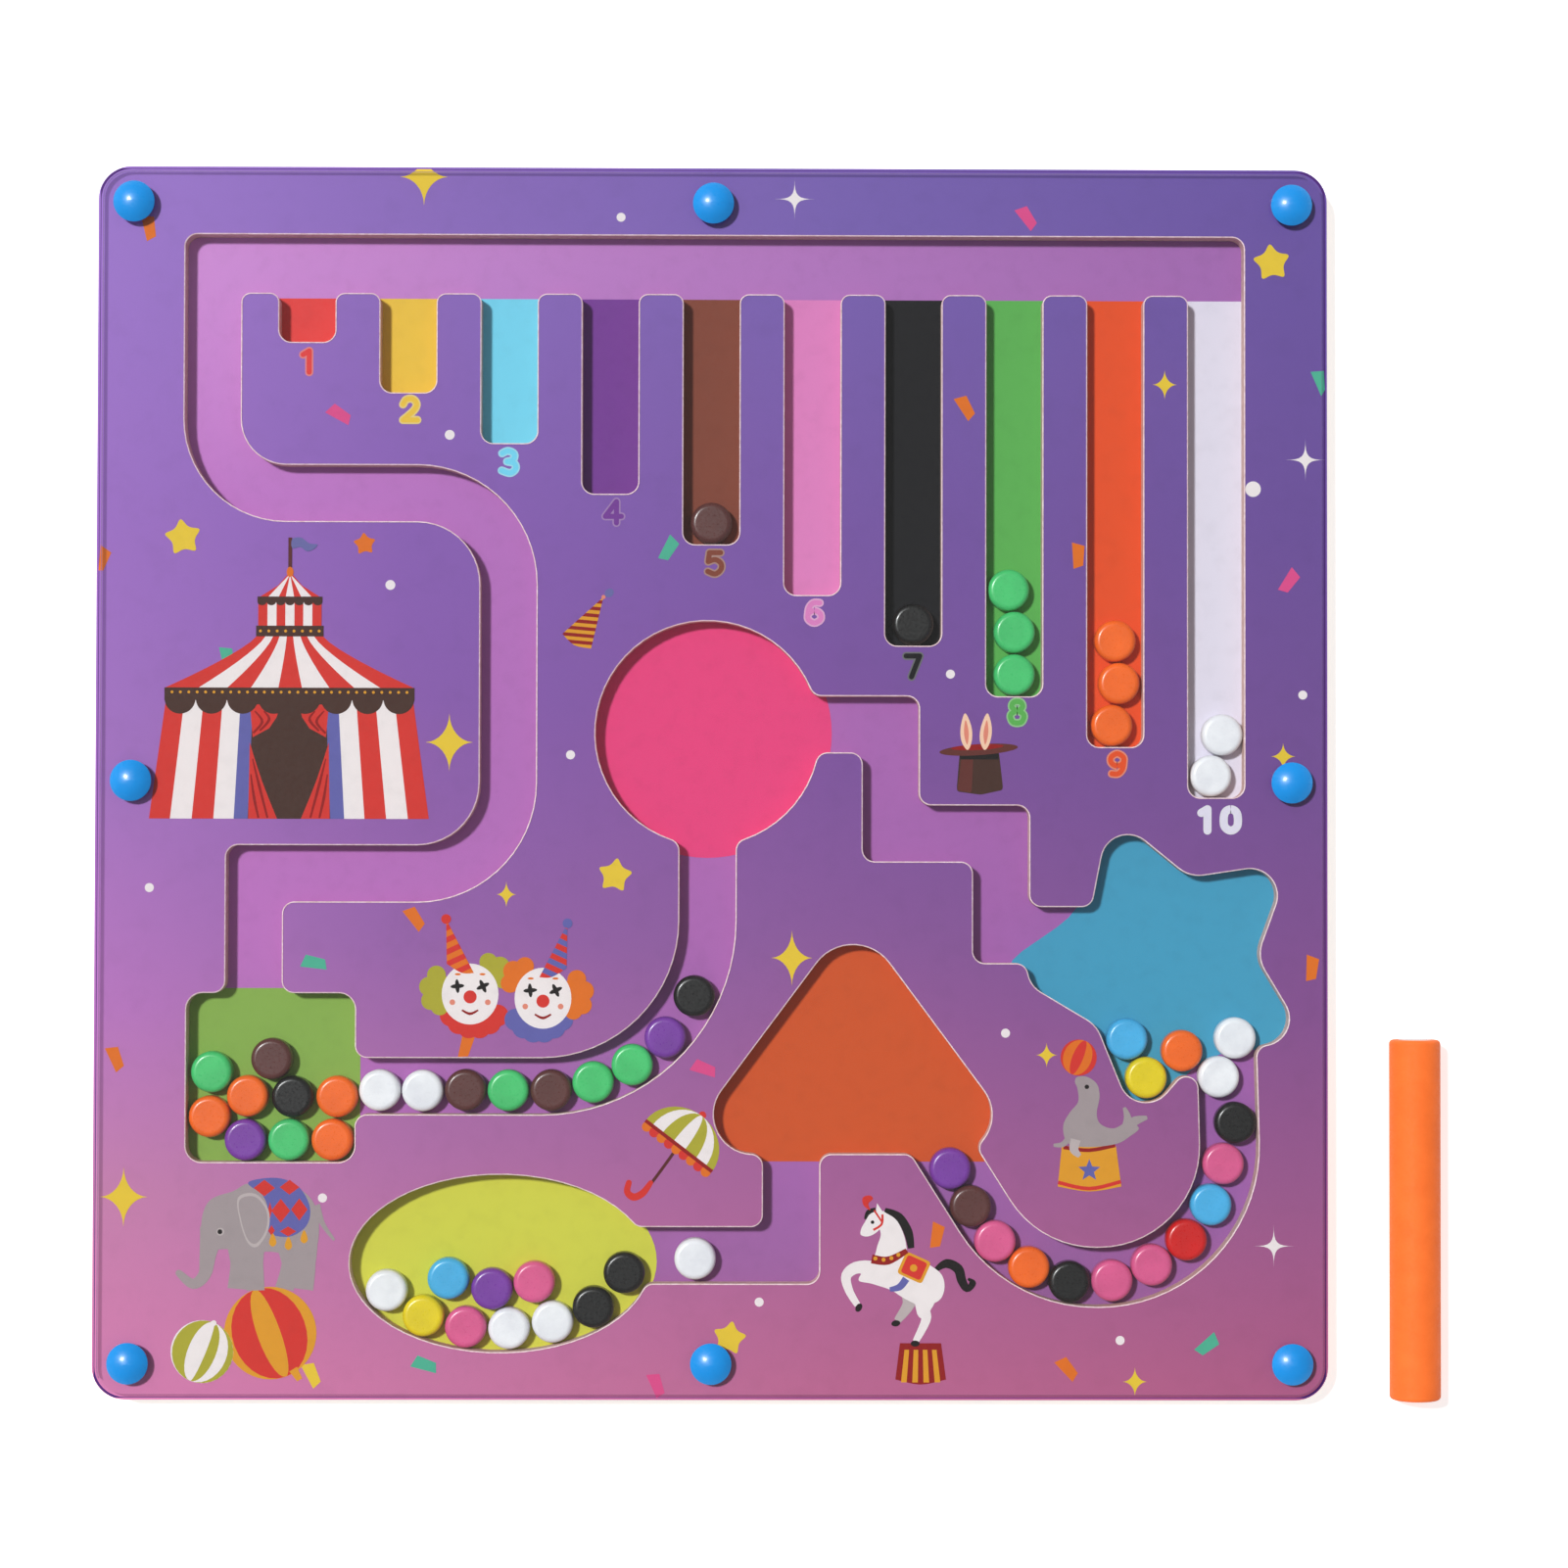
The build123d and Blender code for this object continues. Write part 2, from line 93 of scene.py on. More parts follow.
# ---------------------------------------------------------------- materials
class Surface:
    """A node material around one Principled shader."""

    def __init__(self, name, roughness=0.4, **settings):
        self.material = bpy.data.materials.new(name)
        self.material.use_nodes = True
        self.nodes = self.material.node_tree.nodes
        self.links = self.material.node_tree.links
        self.shader = self.nodes["Principled BSDF"]
        self.shader.inputs["Roughness"].default_value = roughness
        for socket, value in settings.items():
            self.shader.inputs[socket.replace("_", " ")].default_value = value
        self.place = self.nodes.new("ShaderNodeTexCoord").outputs["Object"]

    def join(self, source, target):
        self.links.new(source, target)

    def noise(self, scale, detail=3, stretch=None, roughness=0.55):
        node = self.nodes.new("ShaderNodeTexNoise")
        node.inputs["Scale"].default_value = scale
        node.inputs["Detail"].default_value = detail
        node.inputs["Roughness"].default_value = roughness
        place = self.place
        if stretch:
            mapping = self.nodes.new("ShaderNodeMapping")
            mapping.inputs["Scale"].default_value = stretch
            self.join(place, mapping.inputs["Vector"])
            place = mapping.outputs["Vector"]
        self.join(place, node.inputs["Vector"])
        return node.outputs["Fac"]

    def spread(self, source, low, high, from_low=0.3, from_high=0.7):
        node = self.nodes.new("ShaderNodeMapRange")
        node.inputs["From Min"].default_value = from_low
        node.inputs["From Max"].default_value = from_high
        node.inputs["To Min"].default_value = low
        node.inputs["To Max"].default_value = high
        self.join(source, node.inputs["Value"])
        return node.outputs["Result"]

    def ramp(self, source, stops):
        node = self.nodes.new("ShaderNodeValToRGB")
        elements = node.color_ramp.elements
        while len(elements) < len(stops):
            elements.new(0.5)
        for element, (position, colour) in zip(elements, stops):
            element.position = position
            element.color = colour
        self.join(source, node.inputs["Fac"])
        return node.outputs["Color"]

    def grey(self, source):
        """A number as a grey, no brighter than white."""
        return self.ramp(source, [(0, (0, 0, 0, 1)), (1, (1, 1, 1, 1))])

    def mix(self, share, first, second, blend="MIX"):
        node = self.nodes.new("ShaderNodeMix")
        node.data_type = "RGBA"
        node.blend_type = blend
        for socket, value in (("Factor", share), ("A", first), ("B", second)):
            inputs = [s for s in node.inputs if s.name == socket and s.type in ("VALUE", "RGBA")]
            target = inputs[0] if socket == "Factor" else [s for s in inputs if s.type == "RGBA"][0]
            if isinstance(value, bpy.types.NodeSocket):
                self.join(value, target)
            else:
                target.default_value = value
        return [s for s in node.outputs if s.type == "RGBA"][0]

    def math(self, operation, first, second=0):
        node = self.nodes.new("ShaderNodeMath")
        node.operation = operation
        for socket, value in zip(node.inputs, (first, second)):
            if isinstance(value, bpy.types.NodeSocket):
                self.join(value, socket)
            else:
                socket.default_value = value
        return node.outputs["Value"]

    def parts(self, source):
        """The three outputs X, Y and Z of a vector."""
        node = self.nodes.new("ShaderNodeSeparateXYZ")
        self.join(source, node.inputs["Vector"])
        return node.outputs

    def axis(self, letter, low, high):
        """Place along one axis, 0 at low and 1 at high."""
        return self.spread(self.parts(self.place)[letter], 0, 1, low, high)

    def facing(self):
        """The surface's own direction."""
        return self.parts(self.nodes.new("ShaderNodeNewGeometry").outputs["Normal"])

    def within(self, first, second, radius):
        """1 inside a circle round the point where both numbers are 0."""
        square = self.math("ADD", self.math("MULTIPLY", first, first), self.math("MULTIPLY", second, second))
        return self.math("LESS_THAN", square, radius**2)

    def inlay(self, share, metal):
        """Bare metal where the share is 1, over the colour given before."""
        plastic = self.shader.inputs["Base Color"].links[0].from_socket
        self.colour(self.mix(share, plastic, linear(metal)))
        self.join(share, self.shader.inputs["Metallic"])

    def bump(self, source, height, strength=1):
        node = self.nodes.new("ShaderNodeBump")
        node.inputs["Distance"].default_value = height
        node.inputs["Strength"].default_value = strength
        self.join(source, node.inputs["Height"])
        self.join(node.outputs["Normal"], self.shader.inputs["Normal"])

    def colour(self, source):
        self.join(source, self.shader.inputs["Base Color"])
        return self


def printed(surface, colour):
    """Ink on matt paper: a slight mottle, a fine grain and a faint tooth."""
    mottle = surface.spread(surface.noise(260, 4), 0.95, 1.05)
    grain = surface.spread(surface.noise(5200, 2), 0.97, 1.03)
    shade = surface.math("MULTIPLY", mottle, grain)
    surface.colour(surface.mix(1, colour, surface.grey(shade), "MULTIPLY"))
    surface.shader.inputs["Specular IOR Level"].default_value = 0.15
    surface.join(surface.spread(surface.noise(900), 0.5, 0.65), surface.shader.inputs["Roughness"])
    surface.bump(surface.noise(3600, 2), 0.00002, 0.4)
    return surface.material


ink_materials = {}


def ink(name, colour=None):
    """The material of one ink, made when it is first asked for."""
    if name not in ink_materials:
        surface = Surface("ink_" + name)
        ink_materials[name] = printed(surface, under_cover(colour or INKS[name]))
    return ink_materials[name]


# the print's colours, partly print and partly the key light's fall-off painted in as a darkening from left to
# right: how far across the board, then how far up it and the colour there
PRINT_WITH_PAINTED_FALLOFF = [
    (-150, [(-146, (216, 130, 178)), (-100, (200, 132, 176)), (-55, (188, 122, 193)), (0, (168, 118, 193)),
            (60, (161, 115, 197)), (146, (161, 123, 205))]),
    (-75, [(-146, (203, 122, 166)), (-90, (179, 114, 170)), (-40, (155, 103, 171)), (20, (141, 97, 176)),
           (60, (141, 99, 180)), (135, (143, 110, 189))]),
    (30, [(-146, (189, 107, 148)), (-100, (170, 102, 154)), (-40, (143, 94, 158)), (10, (129, 88, 160)),
          (60, (124, 91, 166)), (135, (124, 101, 177))]),
    (150, [(-146, (176, 95, 136)), (-100, (156, 92, 143)), (-55, (136, 85, 146)), (0, (120, 84, 150)),
           (60, (112, 84, 155)), (146, (111, 89, 164))]),
]
# the maze floor's colours, partly print and partly the key light's fall-off painted in, lighter at the left
FLOOR_PRINT_WITH_PAINTED_FALLOFF = [
    (-150, [(-140, (176, 112, 164)), (-95, (186, 118, 188)), (-40, (203, 127, 205)), (70, (207, 134, 214)),
            (130, (224, 158, 230))]),
    (150, [(-140, (150, 98, 152)), (-95, (160, 103, 173)), (-40, (161, 101, 171)), (70, (162, 103, 174)),
           (130, (162, 107, 177))]),
]


def sheet_colour(surface, columns, bend=1):
    """The print's colour with its painted fall-off of light: a ramp up the board at each column, blended from
    one column to the next.
    """
    up = surface.axis("Y", board_low.y, board_high.y)
    shown, shown_x = None, 0
    for x, stops in columns:
        ramp = surface.ramp(up, [((y + drawing_side / 2) / drawing_side, under_cover(ink)) for y,
                                 ink in stops])
        if shown is not None:
            across = surface.axis("X", centre_x + shown_x * unit, centre_x + x * unit)
            ramp = surface.mix(surface.math("POWER", across, bend), shown, ramp)
        shown, shown_x = ramp, x
    return shown


def fibre_colour(surface, dark, light):
    """Pressed wood fibre: short matted strands in two browns."""
    strands = surface.noise(700, 6, stretch=(1, 1, 2.5), roughness=0.7)
    return surface.ramp(strands, [(0.3, linear(dark)), (0.7, linear(light))])


def printed_board():
    """Print on the upper face, with a painted fall-off of light darkening it to the right, and bare
    fibreboard on the cut walls and edges.
    """
    surface = Surface("printed_board", Specular_IOR_Level=0.15)
    # the sheet's colours are print plus painted light: the key light's fall-off, darker towards the right
    print_with_painted_falloff = sheet_colour(surface, PRINT_WITH_PAINTED_FALLOFF)
    mottle = surface.spread(surface.noise(180, 4), 0.96, 1.04)
    print_with_painted_falloff = surface.mix(1, print_with_painted_falloff, surface.grey(mottle), "MULTIPLY")
    facing_up = surface.spread(surface.facing()["Z"], 0, 1, 0.75, 0.9)
    walls = fibre_colour(surface, (190, 150, 142), (234, 206, 196))
    surface.colour(surface.mix(facing_up, walls, print_with_painted_falloff))
    surface.join(surface.spread(facing_up, 0.85, 0.55, 0, 1), surface.shader.inputs["Roughness"])
    surface.bump(surface.noise(2400, 3), 0.00003, 0.5)
    return surface.material


def floor_print_with_painted_falloff():
    """The sheet printed on the maze floor, with its colours bunched to the left; they are partly print and
    partly a painted fall-off of light, darker towards the right.
    """
    surface = Surface("floor_print_with_painted_falloff")
    return printed(surface, sheet_colour(surface, FLOOR_PRINT_WITH_PAINTED_FALLOFF, 0.55))


def back_wood():
    """Plain sanded plywood: long soft grain with darker pores."""
    surface = Surface("back_wood", roughness=0.6)
    bands = surface.noise(14, 5, stretch=(1, 9, 1))
    pores = surface.noise(240, 3, stretch=(1, 14, 1))
    browns = ((0.3, (196, 158, 112)), (0.5, (222, 188, 142)), (0.7, (206, 168, 120)))
    base = surface.ramp(bands, [(place, linear(brown)) for place, brown in browns])
    fine = surface.ramp(pores, [(0.35, linear((168, 128, 88))), (0.5, (1, 1, 1, 1))])
    surface.colour(surface.mix(0.55, base, fine, "MULTIPLY"))
    surface.join(surface.spread(pores, 0.5, 0.7), surface.shader.inputs["Roughness"])
    surface.bump(pores, 0.00006, 0.5)
    return surface.material


def clear_acrylic():
    """A clear sheet: light passes straight through, a little is mirrored, and the edges are frosted, the
    right and bottom ones more heavily as painted light.
    """
    surface = Surface("clear_acrylic")
    most_mirrored = 0.3
    # extra whitish frost on the right and bottom edges: painted light for the pale line along them
    light_line_frost = 0.45
    see_through = surface.nodes.new("ShaderNodeBsdfTransparent")
    see_through.inputs["Color"].default_value = (0.985, 0.99, 0.99, 1)
    mirror = surface.nodes.new("ShaderNodeBsdfGlossy")
    mirror.inputs["Roughness"].default_value = 0.06
    fresnel = surface.nodes.new("ShaderNodeFresnel")
    fresnel.inputs["IOR"].default_value = 1.49
    facing = surface.facing()
    on_edge = surface.math("LESS_THAN", surface.math("ABSOLUTE", facing["Z"]), 0.95)
    blend = surface.nodes.new("ShaderNodeMixShader")
    mirrored = surface.math("MINIMUM", fresnel.outputs["Fac"], most_mirrored)
    off_edge = surface.math("SUBTRACT", 1, on_edge)
    surface.join(surface.math("MULTIPLY", mirrored, off_edge), blend.inputs["Fac"])
    surface.join(see_through.outputs["BSDF"], blend.inputs[1])
    surface.join(mirror.outputs["BSDF"], blend.inputs[2])
    sawn_and_light_line = surface.nodes.new("ShaderNodeBsdfDiffuse")
    sawn_and_light_line.inputs["Color"].default_value = linear((226, 206, 232))
    frost = surface.spread(surface.noise(1800, 3), 0.04, 0.1)
    # the right and bottom edges get a heavier whitish frost: painted light, standing in for the pale line
    # that the key light puts along them
    light_line_side = surface.math("GREATER_THAN", surface.math("SUBTRACT", facing["X"], facing["Y"]), 0.5)
    frost = surface.math("ADD", frost, surface.math("MULTIPLY", light_line_side, light_line_frost))
    edged = surface.nodes.new("ShaderNodeMixShader")
    surface.join(surface.math("MULTIPLY", on_edge, frost), edged.inputs["Fac"])
    surface.join(blend.outputs["Shader"], edged.inputs[1])
    surface.join(sawn_and_light_line.outputs["BSDF"], edged.inputs[2])
    surface.join(edged.outputs["Shader"], surface.nodes["Material Output"].inputs["Surface"])
    surface.nodes.remove(surface.shader)
    return surface.material


def moulded(name, colour, roughness, coat, tone=0.04):
    """Moulded plastic: a slow tone shift, fine handling marks and a soft gloss."""
    surface = Surface(name, roughness, Coat_Weight=coat, Coat_Roughness=0.2)
    lighter = under_cover([value * (1 + tone) for value in colour])
    darker = under_cover([value * (1 - tone) for value in colour])
    cloud = surface.noise(160, 3)
    surface.colour(surface.ramp(cloud, [(0.3, darker), (0.7, lighter)]))
    marks = surface.noise(1500, 4)
    surface.join(surface.spread(marks, roughness * 0.8, roughness * 1.35), surface.shader.inputs["Roughness"])
    surface.bump(surface.noise(900, 2), 0.00001, 0.5)
    return surface


def bead_material(colour_name):
    """Glossy cap, with the steel disc showing in the pocket underneath."""
    surface = moulded("bead_" + colour_name, BEADS[colour_name], 0.3, 0.15)
    disc_share = 0.331               # radius of the disc over the bead's diameter
    disc_top = 0.53                  # top of the pocket over the bead's height
    inside = surface.parts(surface.nodes.new("ShaderNodeTexCoord").outputs["Generated"])
    off_x = surface.math("SUBTRACT", inside["X"], 0.5)
    off_y = surface.math("SUBTRACT", inside["Y"], 0.5)
    in_disc = surface.within(off_x, off_y, disc_share)
    low = surface.math("LESS_THAN", inside["Z"], disc_top)
    surface.inlay(surface.math("MULTIPLY", in_disc, low), (176, 178, 182))
    return surface.material


def pen_material():
    """Satin plastic, with a nickel-plated magnet let into the upper end."""
    surface = moulded("pen_orange", (253, 122, 63), 0.6, 0, 0.03)
    surface.shader.inputs["Specular IOR Level"].default_value = 0.2
    magnet_share = 4.05 / 6.2        # radius of the magnet over the pen's
    magnet_radius = (pen_high.x - pen_low.x) / 2 * magnet_share
    magnet_depth = 0.0062
    middle = (pen_low + pen_high) / 2
    place = surface.parts(surface.place)
    off_x = surface.math("SUBTRACT", place["X"], middle.x)
    off_z = surface.math("SUBTRACT", place["Z"], middle.z)
    near_end = surface.math("GREATER_THAN", place["Y"], pen_high.y - magnet_depth)
    in_magnet = surface.within(off_x, off_z, magnet_radius)
    surface.inlay(surface.math("MULTIPLY", in_magnet, near_end), (190, 190, 188))
    return surface.material


def dress(node_name, material):
    """One material over a whole CAD node."""
    node = nodes[node_name]
    if not node.material_slots:
        node.data.materials.append(material)
    for slot in node.material_slots:
        slot.material = material


bead_materials = {name: bead_material(name) for name in BEADS}
dress("base_board", back_wood())
dress("channel_board", printed_board())
dress("clear_cover", clear_acrylic())
dress("snap_rivets", moulded("rivet_blue", (4, 145, 224), 0.34, 0.3, 0.02).material)
dress("magnet_pen", pen_material())
for node_name in sorted(nodes):
    if node_name.startswith("bead_"):
        dress(node_name, bead_materials[node_name.split("_")[1]])


def printed_piece(name, mesh, materials):
    """A finished mesh as one piece of the printed board."""
    data = bpy.data.meshes.new(name)
    mesh.to_mesh(data)
    mesh.free()
    for material in materials:
        data.materials.append(material)
    piece = bpy.data.objects.new(name, data)
    bpy.context.scene.collection.objects.link(piece)
    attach(piece, "board")


# ---------------------------------------------------------------- outlines, in drawing units
def arc(x, y, across, up=None, start=0, end=360, turn=0, count=40):
    """Points round an ellipse, or along part of it, turned by some degrees."""
    up = across if up is None else up
    whole = abs(end - start) >= 360
    steps = count if whole else count + 1
    points = []
    for step in range(steps):
        angle = math.radians(start + (end - start) * step / count)
        a, b = across * math.cos(angle), up * math.sin(angle)
        c, s = math.cos(math.radians(turn)), math.sin(math.radians(turn))
        points.append((x + a * c - b * s, y + a * s + b * c))
    return points


def smooth(points, closed=True, steps=5):
    """A soft line through a few given points."""
    count = len(points)
    out = []
    for i in range(count if closed else count - 1):
        if closed:
            p = [points[(i + k) % count] for k in (-1, 0, 1, 2)]
        else:
            p = [points[max(0, min(count - 1, i + k))] for k in (-1, 0, 1, 2)]
        for step in range(steps):
            t = step / steps
            weights = (
                -0.5 * t + t * t - 0.5 * t**3,
                1 - 2.5 * t * t + 1.5 * t**3,
                0.5 * t + 2 * t * t - 1.5 * t**3,
                -0.5 * t * t + 0.5 * t**3,
            )
            out.append(tuple(sum(w * q[axis] for w, q in zip(weights, p)) for axis in (0, 1)))
    if not closed:
        out.append(points[-1])
    return out


def stroke(points, widths, soft=True, round_ends=False):
    """The outline of a brush stroke along a line, with a width for each chosen point."""
    line = smooth(points, closed=False) if soft else list(points)
    if not hasattr(widths, "__len__"):
        widths = [widths] * len(points)
    left, right = [], []
    for i, (x, y) in enumerate(line):
        before, after = line[max(0, i - 1)], line[min(len(line) - 1, i + 1)]
        dx, dy = after[0] - before[0], after[1] - before[1]
        length = math.hypot(dx, dy) or 1.0
        spot = i / (len(line) - 1) * (len(widths) - 1)
        k = min(int(spot), len(widths) - 2)
        half = (widths[k] + (widths[k + 1] - widths[k]) * (spot - k)) / 2
        left.append((x - dy / length * half, y + dx / length * half))
        right.append((x + dy / length * half, y - dx / length * half))
    if not round_ends:
        return left + right[::-1]
    caps = []
    for (x, y), edge in ((line[-1], left[-1]), (line[0], right[0])):
        start = math.degrees(math.atan2(edge[1] - y, edge[0] - x))
        caps.append(arc(x, y, math.hypot(edge[0] - x, edge[1] - y), start=start, end=start - 180,
                        count=8)[1:-1])
    return left + caps[0] + right[::-1] + caps[1]


def star(x, y, outer, inner, arms=5, turn=90):
    """A pointed star, its first arm turned by some degrees from the right."""
    points = []
    for i in range(2 * arms):
        angle = math.radians(turn + 180.0 * i / arms)
        radius = inner if i % 2 else outer
        points.append((x + radius * math.cos(angle), y + radius * math.sin(angle)))
    return points


def blunt(points, share=0.3, steps=4):
    """An outline with its corners rounded off over a share of each side."""
    count = len(points)
    out = []
    for i, corner in enumerate(points):
        before, after = points[i - 1], points[(i + 1) % count]
        start = [c + (b - c) * share for c, b in zip(corner, before)]
        end = [c + (a - c) * share for c, a in zip(corner, after)]
        for step in range(steps + 1):
            t = step / steps
            out.append(tuple((1 - t) ** 2 * s + 2 * t * (1 - t) * c + t * t * e for s, c,
                             e in zip(start, corner, end)))
    return out


def sparkle(x, y, across, up, hollow=1.76):
    """A four-pointed glint with hollow sides."""
    tips = [(across, 0), (0, up), (-across, 0), (0, -up)]
    points = []
    for tip, following in zip(tips, tips[1:] + tips[:1]):
        for step in range(8):
            near, far = (1 - step / 8) ** hollow, (step / 8) ** hollow
            points.append((x + tip[0] * near + following[0] * far, y + tip[1] * near + following[1] * far))
    return points


def turned(points, x, y, angle):
    """Points turned about one place by some degrees."""
    c, s = math.cos(math.radians(angle)), math.sin(math.radians(angle))
    return [(x + (px - x) * c - (py - y) * s, y + (px - x) * s + (py - y) * c) for px, py in points]


def between(points, low, high, tilt=0):
    """The part of an outline that lies between two parallel lines, tilted by some degrees."""
    kept = turned(points, 0, 0, -tilt)
    for limit, sign in ((low, 1), (high, -1)):
        line, kept = kept, []
        for a, b in zip(line, line[1:] + line[:1]):
            if (a[1] - limit) * sign >= 0:
                kept.append(a)
            if (a[1] - limit) * (b[1] - limit) < 0:
                share = (limit - a[1]) / (b[1] - a[1])
                kept.append((a[0] + (b[0] - a[0]) * share, limit))
    return turned(kept, 0, 0, tilt)


def box(left, bottom, right, top):
    return [(left, bottom), (right, bottom), (right, top), (left, top)]


def gore(x, y, radius, tilt, first, last, count=14):
    """One coloured segment of a ball, from pole to pole; first and last run from -1 to 1 across it."""
    points = []
    for side, sign in ((first, 1), (last, -1)):
        for step in range(count + 1):
            angle = math.radians(90 - 180 * step / count) * sign
            points.append((x + radius * side * math.cos(angle), y + radius * math.sin(angle)))
    return turned(points[:count + 1] + points[count + 2:-1], x, y, tilt)


class Picture:
    """One printed picture: thin flat inks laid on each other, kept as one piece of the board."""

    def __init__(self, name, level):
        self.name = name
        self.level = level
        self.height = level + ink_film
        self.mesh = bmesh.new()
        self.inks = []

    def lay(self, points, ink_name, colour=None):
        """One closed outline as a film of ink over the inks laid before it."""
        material = ink_name if isinstance(ink_name, bpy.types.Material) else ink(ink_name, colour)
        if material not in self.inks:
            self.inks.append(material)
        points = [[max(-print_reach, min(print_reach, value)) for value in point] for point in points]
        area = sum(a[0] * b[1] - b[0] * a[1] for a, b in zip(points, points[1:] + points[:1]))
        points = points if area > 0 else points[::-1]
        self.height += ink_hair
        rings = []
        for z in (self.level, self.height):
            rings.append([self.mesh.verts.new((centre_x + px * unit, centre_y + py * unit, z)) for px,
                          py in points])
        faces = [self.mesh.faces.new(rings[1]), self.mesh.faces.new(rings[0][::-1])]
        for i in range(len(points)):
            k = (i + 1) % len(points)
            faces.append(self.mesh.faces.new((rings[0][i], rings[0][k], rings[1][k], rings[1][i])))
        for face in faces:
            face.material_index = self.inks.index(material)

    def finish(self):
        printed_piece(self.name, self.mesh, self.inks)


# ---------------------------------------------------------------- the printed floor of the maze
slot_count = 10
slot_pitch = 24.65
first_slot_x = -99.0
first_slot_bottom = 107.1
slot_step = 12.3
channel_width = 13.7
corridor_floor = 118.5               # where the corridor's print ends and the slots' begins
star_centre = (110.5, -44.5)
star_arms = (110, 181.5, 260, 331.5, 399.5)


def star_floor(tip=41, valley=24):
    """The star room's print, a little larger than the room."""
    following = star_arms[1:] + (star_arms[0] + 360,)
    points = []
    for angle, next_angle in zip(star_arms, following):
        for radius, direction in ((tip, angle), (valley, (angle + next_angle) / 2)):
            radians = math.radians(direction)
            points.append((star_centre[0] + radius * math.cos(radians),
                           star_centre[1] + radius * math.sin(radians)))
    return blunt(points, 0.3)


def floor_pictures():
    """The floor's own sheet, then a colour under each slot and each room."""
    sheet = Picture("floor_sheet", floor_level)
    sheet.lay(box(-130.5, -136.5, 133.5, 134.5), floor_print_with_painted_falloff())
    sheet.finish()
    colours = Picture("floor_colours", floor_level + ink_film)
    under = 0.6                      # the colour runs this far under the walls
    half = channel_width / 2 + under
    for k, colour in enumerate(SLOT_INKS):
        x = first_slot_x + k * slot_pitch
        bottom = first_slot_bottom - k * slot_step - under
        colours.lay(box(x - half, bottom, x + half, corridor_floor), f"slot_{k + 1}", colour)
    for name, outline in (
        ("circle", arc(-1.2, 11.9, 30.4, count=72)),
        ("green_room", box(-128.5, -93.5, -85.8, -50.5)),
        ("ellipse", arc(-51.3, -117, 38, 22.6, count=72)),
        ("triangle", blunt([(-13.5, -92.6), (82, -92.6), (34.35, -28)], 0.08)),
        ("star_room", star_floor()),
    ):
        colours.lay(outline, name, ROOM_INKS[name])
    colours.finish()


# ---------------------------------------------------------------- printed pictures
# each number as pen lines round its own middle, about 6 high
PEN_NUMBERS = {
    "0": [(True, [(0, 2.6), (-1.5, 1.6), (-1.6, -1.4), (0, -2.6), (1.6, -1.4), (1.5, 1.6), (0, 2.6)])],
    "1": [(False, [(-1.2, 1.7), (0.3, 2.6)]), (False, [(0.3, 2.6), (0.3, -2.6)])],
    "2": [(True, [(-1.7, 1.3), (-0.9, 2.5), (0.7, 2.6), (1.6, 1.4), (0.9, -0.2), (-1.7, -2.5)]),
          (False, [(-1.7, -2.5), (1.8, -2.5)])],
    "3": [(True, [(-1.6, 2.1), (-0.2, 2.7), (1.3, 2), (1.1, 0.6), (-0.4, 0.1)]),
          (True, [(-0.4, 0.1), (1.3, -0.3), (1.7, -1.6), (0.4, -2.7), (-1.7, -2.1)])],
    "4": [(False, [(0.8, -2.6), (0.8, 2.6)]), (False, [(0.8, 2.6), (-1.9, -1)]),
          (False, [(-1.9, -1), (2, -1)])],
    "5": [(False, [(1.5, 2.5), (-1.2, 2.5)]), (False, [(-1.2, 2.5), (-1.5, 0.3)]),
          (True, [(-1.5, 0.3), (0.2, 0.8), (1.6, -0.1), (1.6, -1.6), (0.2, -2.7), (-1.6, -2.1)])],
    "6": [(True, [(1.3, 2.3), (-0.2, 2.3), (-1.3, 1.1), (-1.6, -0.8)]),
          (True, [(0, 0.4), (-1.4, -0.3), (-1.5, -1.7), (0, -2.6), (1.5, -1.7), (1.4, -0.3),
                  (0, 0.4)])],
    "7": [(False, [(-1.7, 2.5), (1.6, 2.5)]), (False, [(1.6, 2.5), (-0.4, -2.6)])],
    "8": [(True, [(0, 0.3), (-1.3, 1.2), (-0.8, 2.4), (0.8, 2.4), (1.3, 1.2), (0, 0.3)]),
          (True, [(0, 0.3), (-1.6, -0.7), (-1.2, -2.3), (0, -2.7), (1.2, -2.3), (1.6, -0.7),
                  (0, 0.3)])],
}
PEN_NUMBERS["9"] = [(soft, [(-x, -y) for x, y in line]) for soft, line in PEN_NUMBERS["6"]]


def numbers():
    """The number under each slot, in the slot's colour on a lighter backing."""
    picture = Picture("slot_numbers", top_level)
    places = [("1", -98.8, 102.3), ("2", -73.9, 90.6), ("3", -49.8, 77.9), ("4", -24.3, 65.7),
              ("5", 0.4, 53.4),
              ("6", 24.8, 41.4), ("7", 48.9, 28.3), ("8", 74.3, 17.2), ("9", 98.7, 4.5), ("1", 120.4, -9),
              ("0", 126.4, -9)]
    for k, (figure, x, y) in enumerate(places):
        number = min(k + 1, slot_count)
        colour = SLOT_INKS[number - 1]
        backing = [value + (225 - value) * 0.4 for value in colour]
        for width, name, tone in ((2, f"backing_{number}", backing), (1.25, f"slot_{number}", colour)):
            for soft, line in PEN_NUMBERS[figure]:
                placed = [(x + px, y + py) for px, py in line]
                if line[0] == line[-1]:
                    loop = smooth(placed[:-1])
                    outline = stroke(loop + loop[:1], width, soft=False)
                else:
                    outline = stroke(placed, width, soft=soft, round_ends=True)
                picture.lay(outline, name, tone)
    picture.finish()


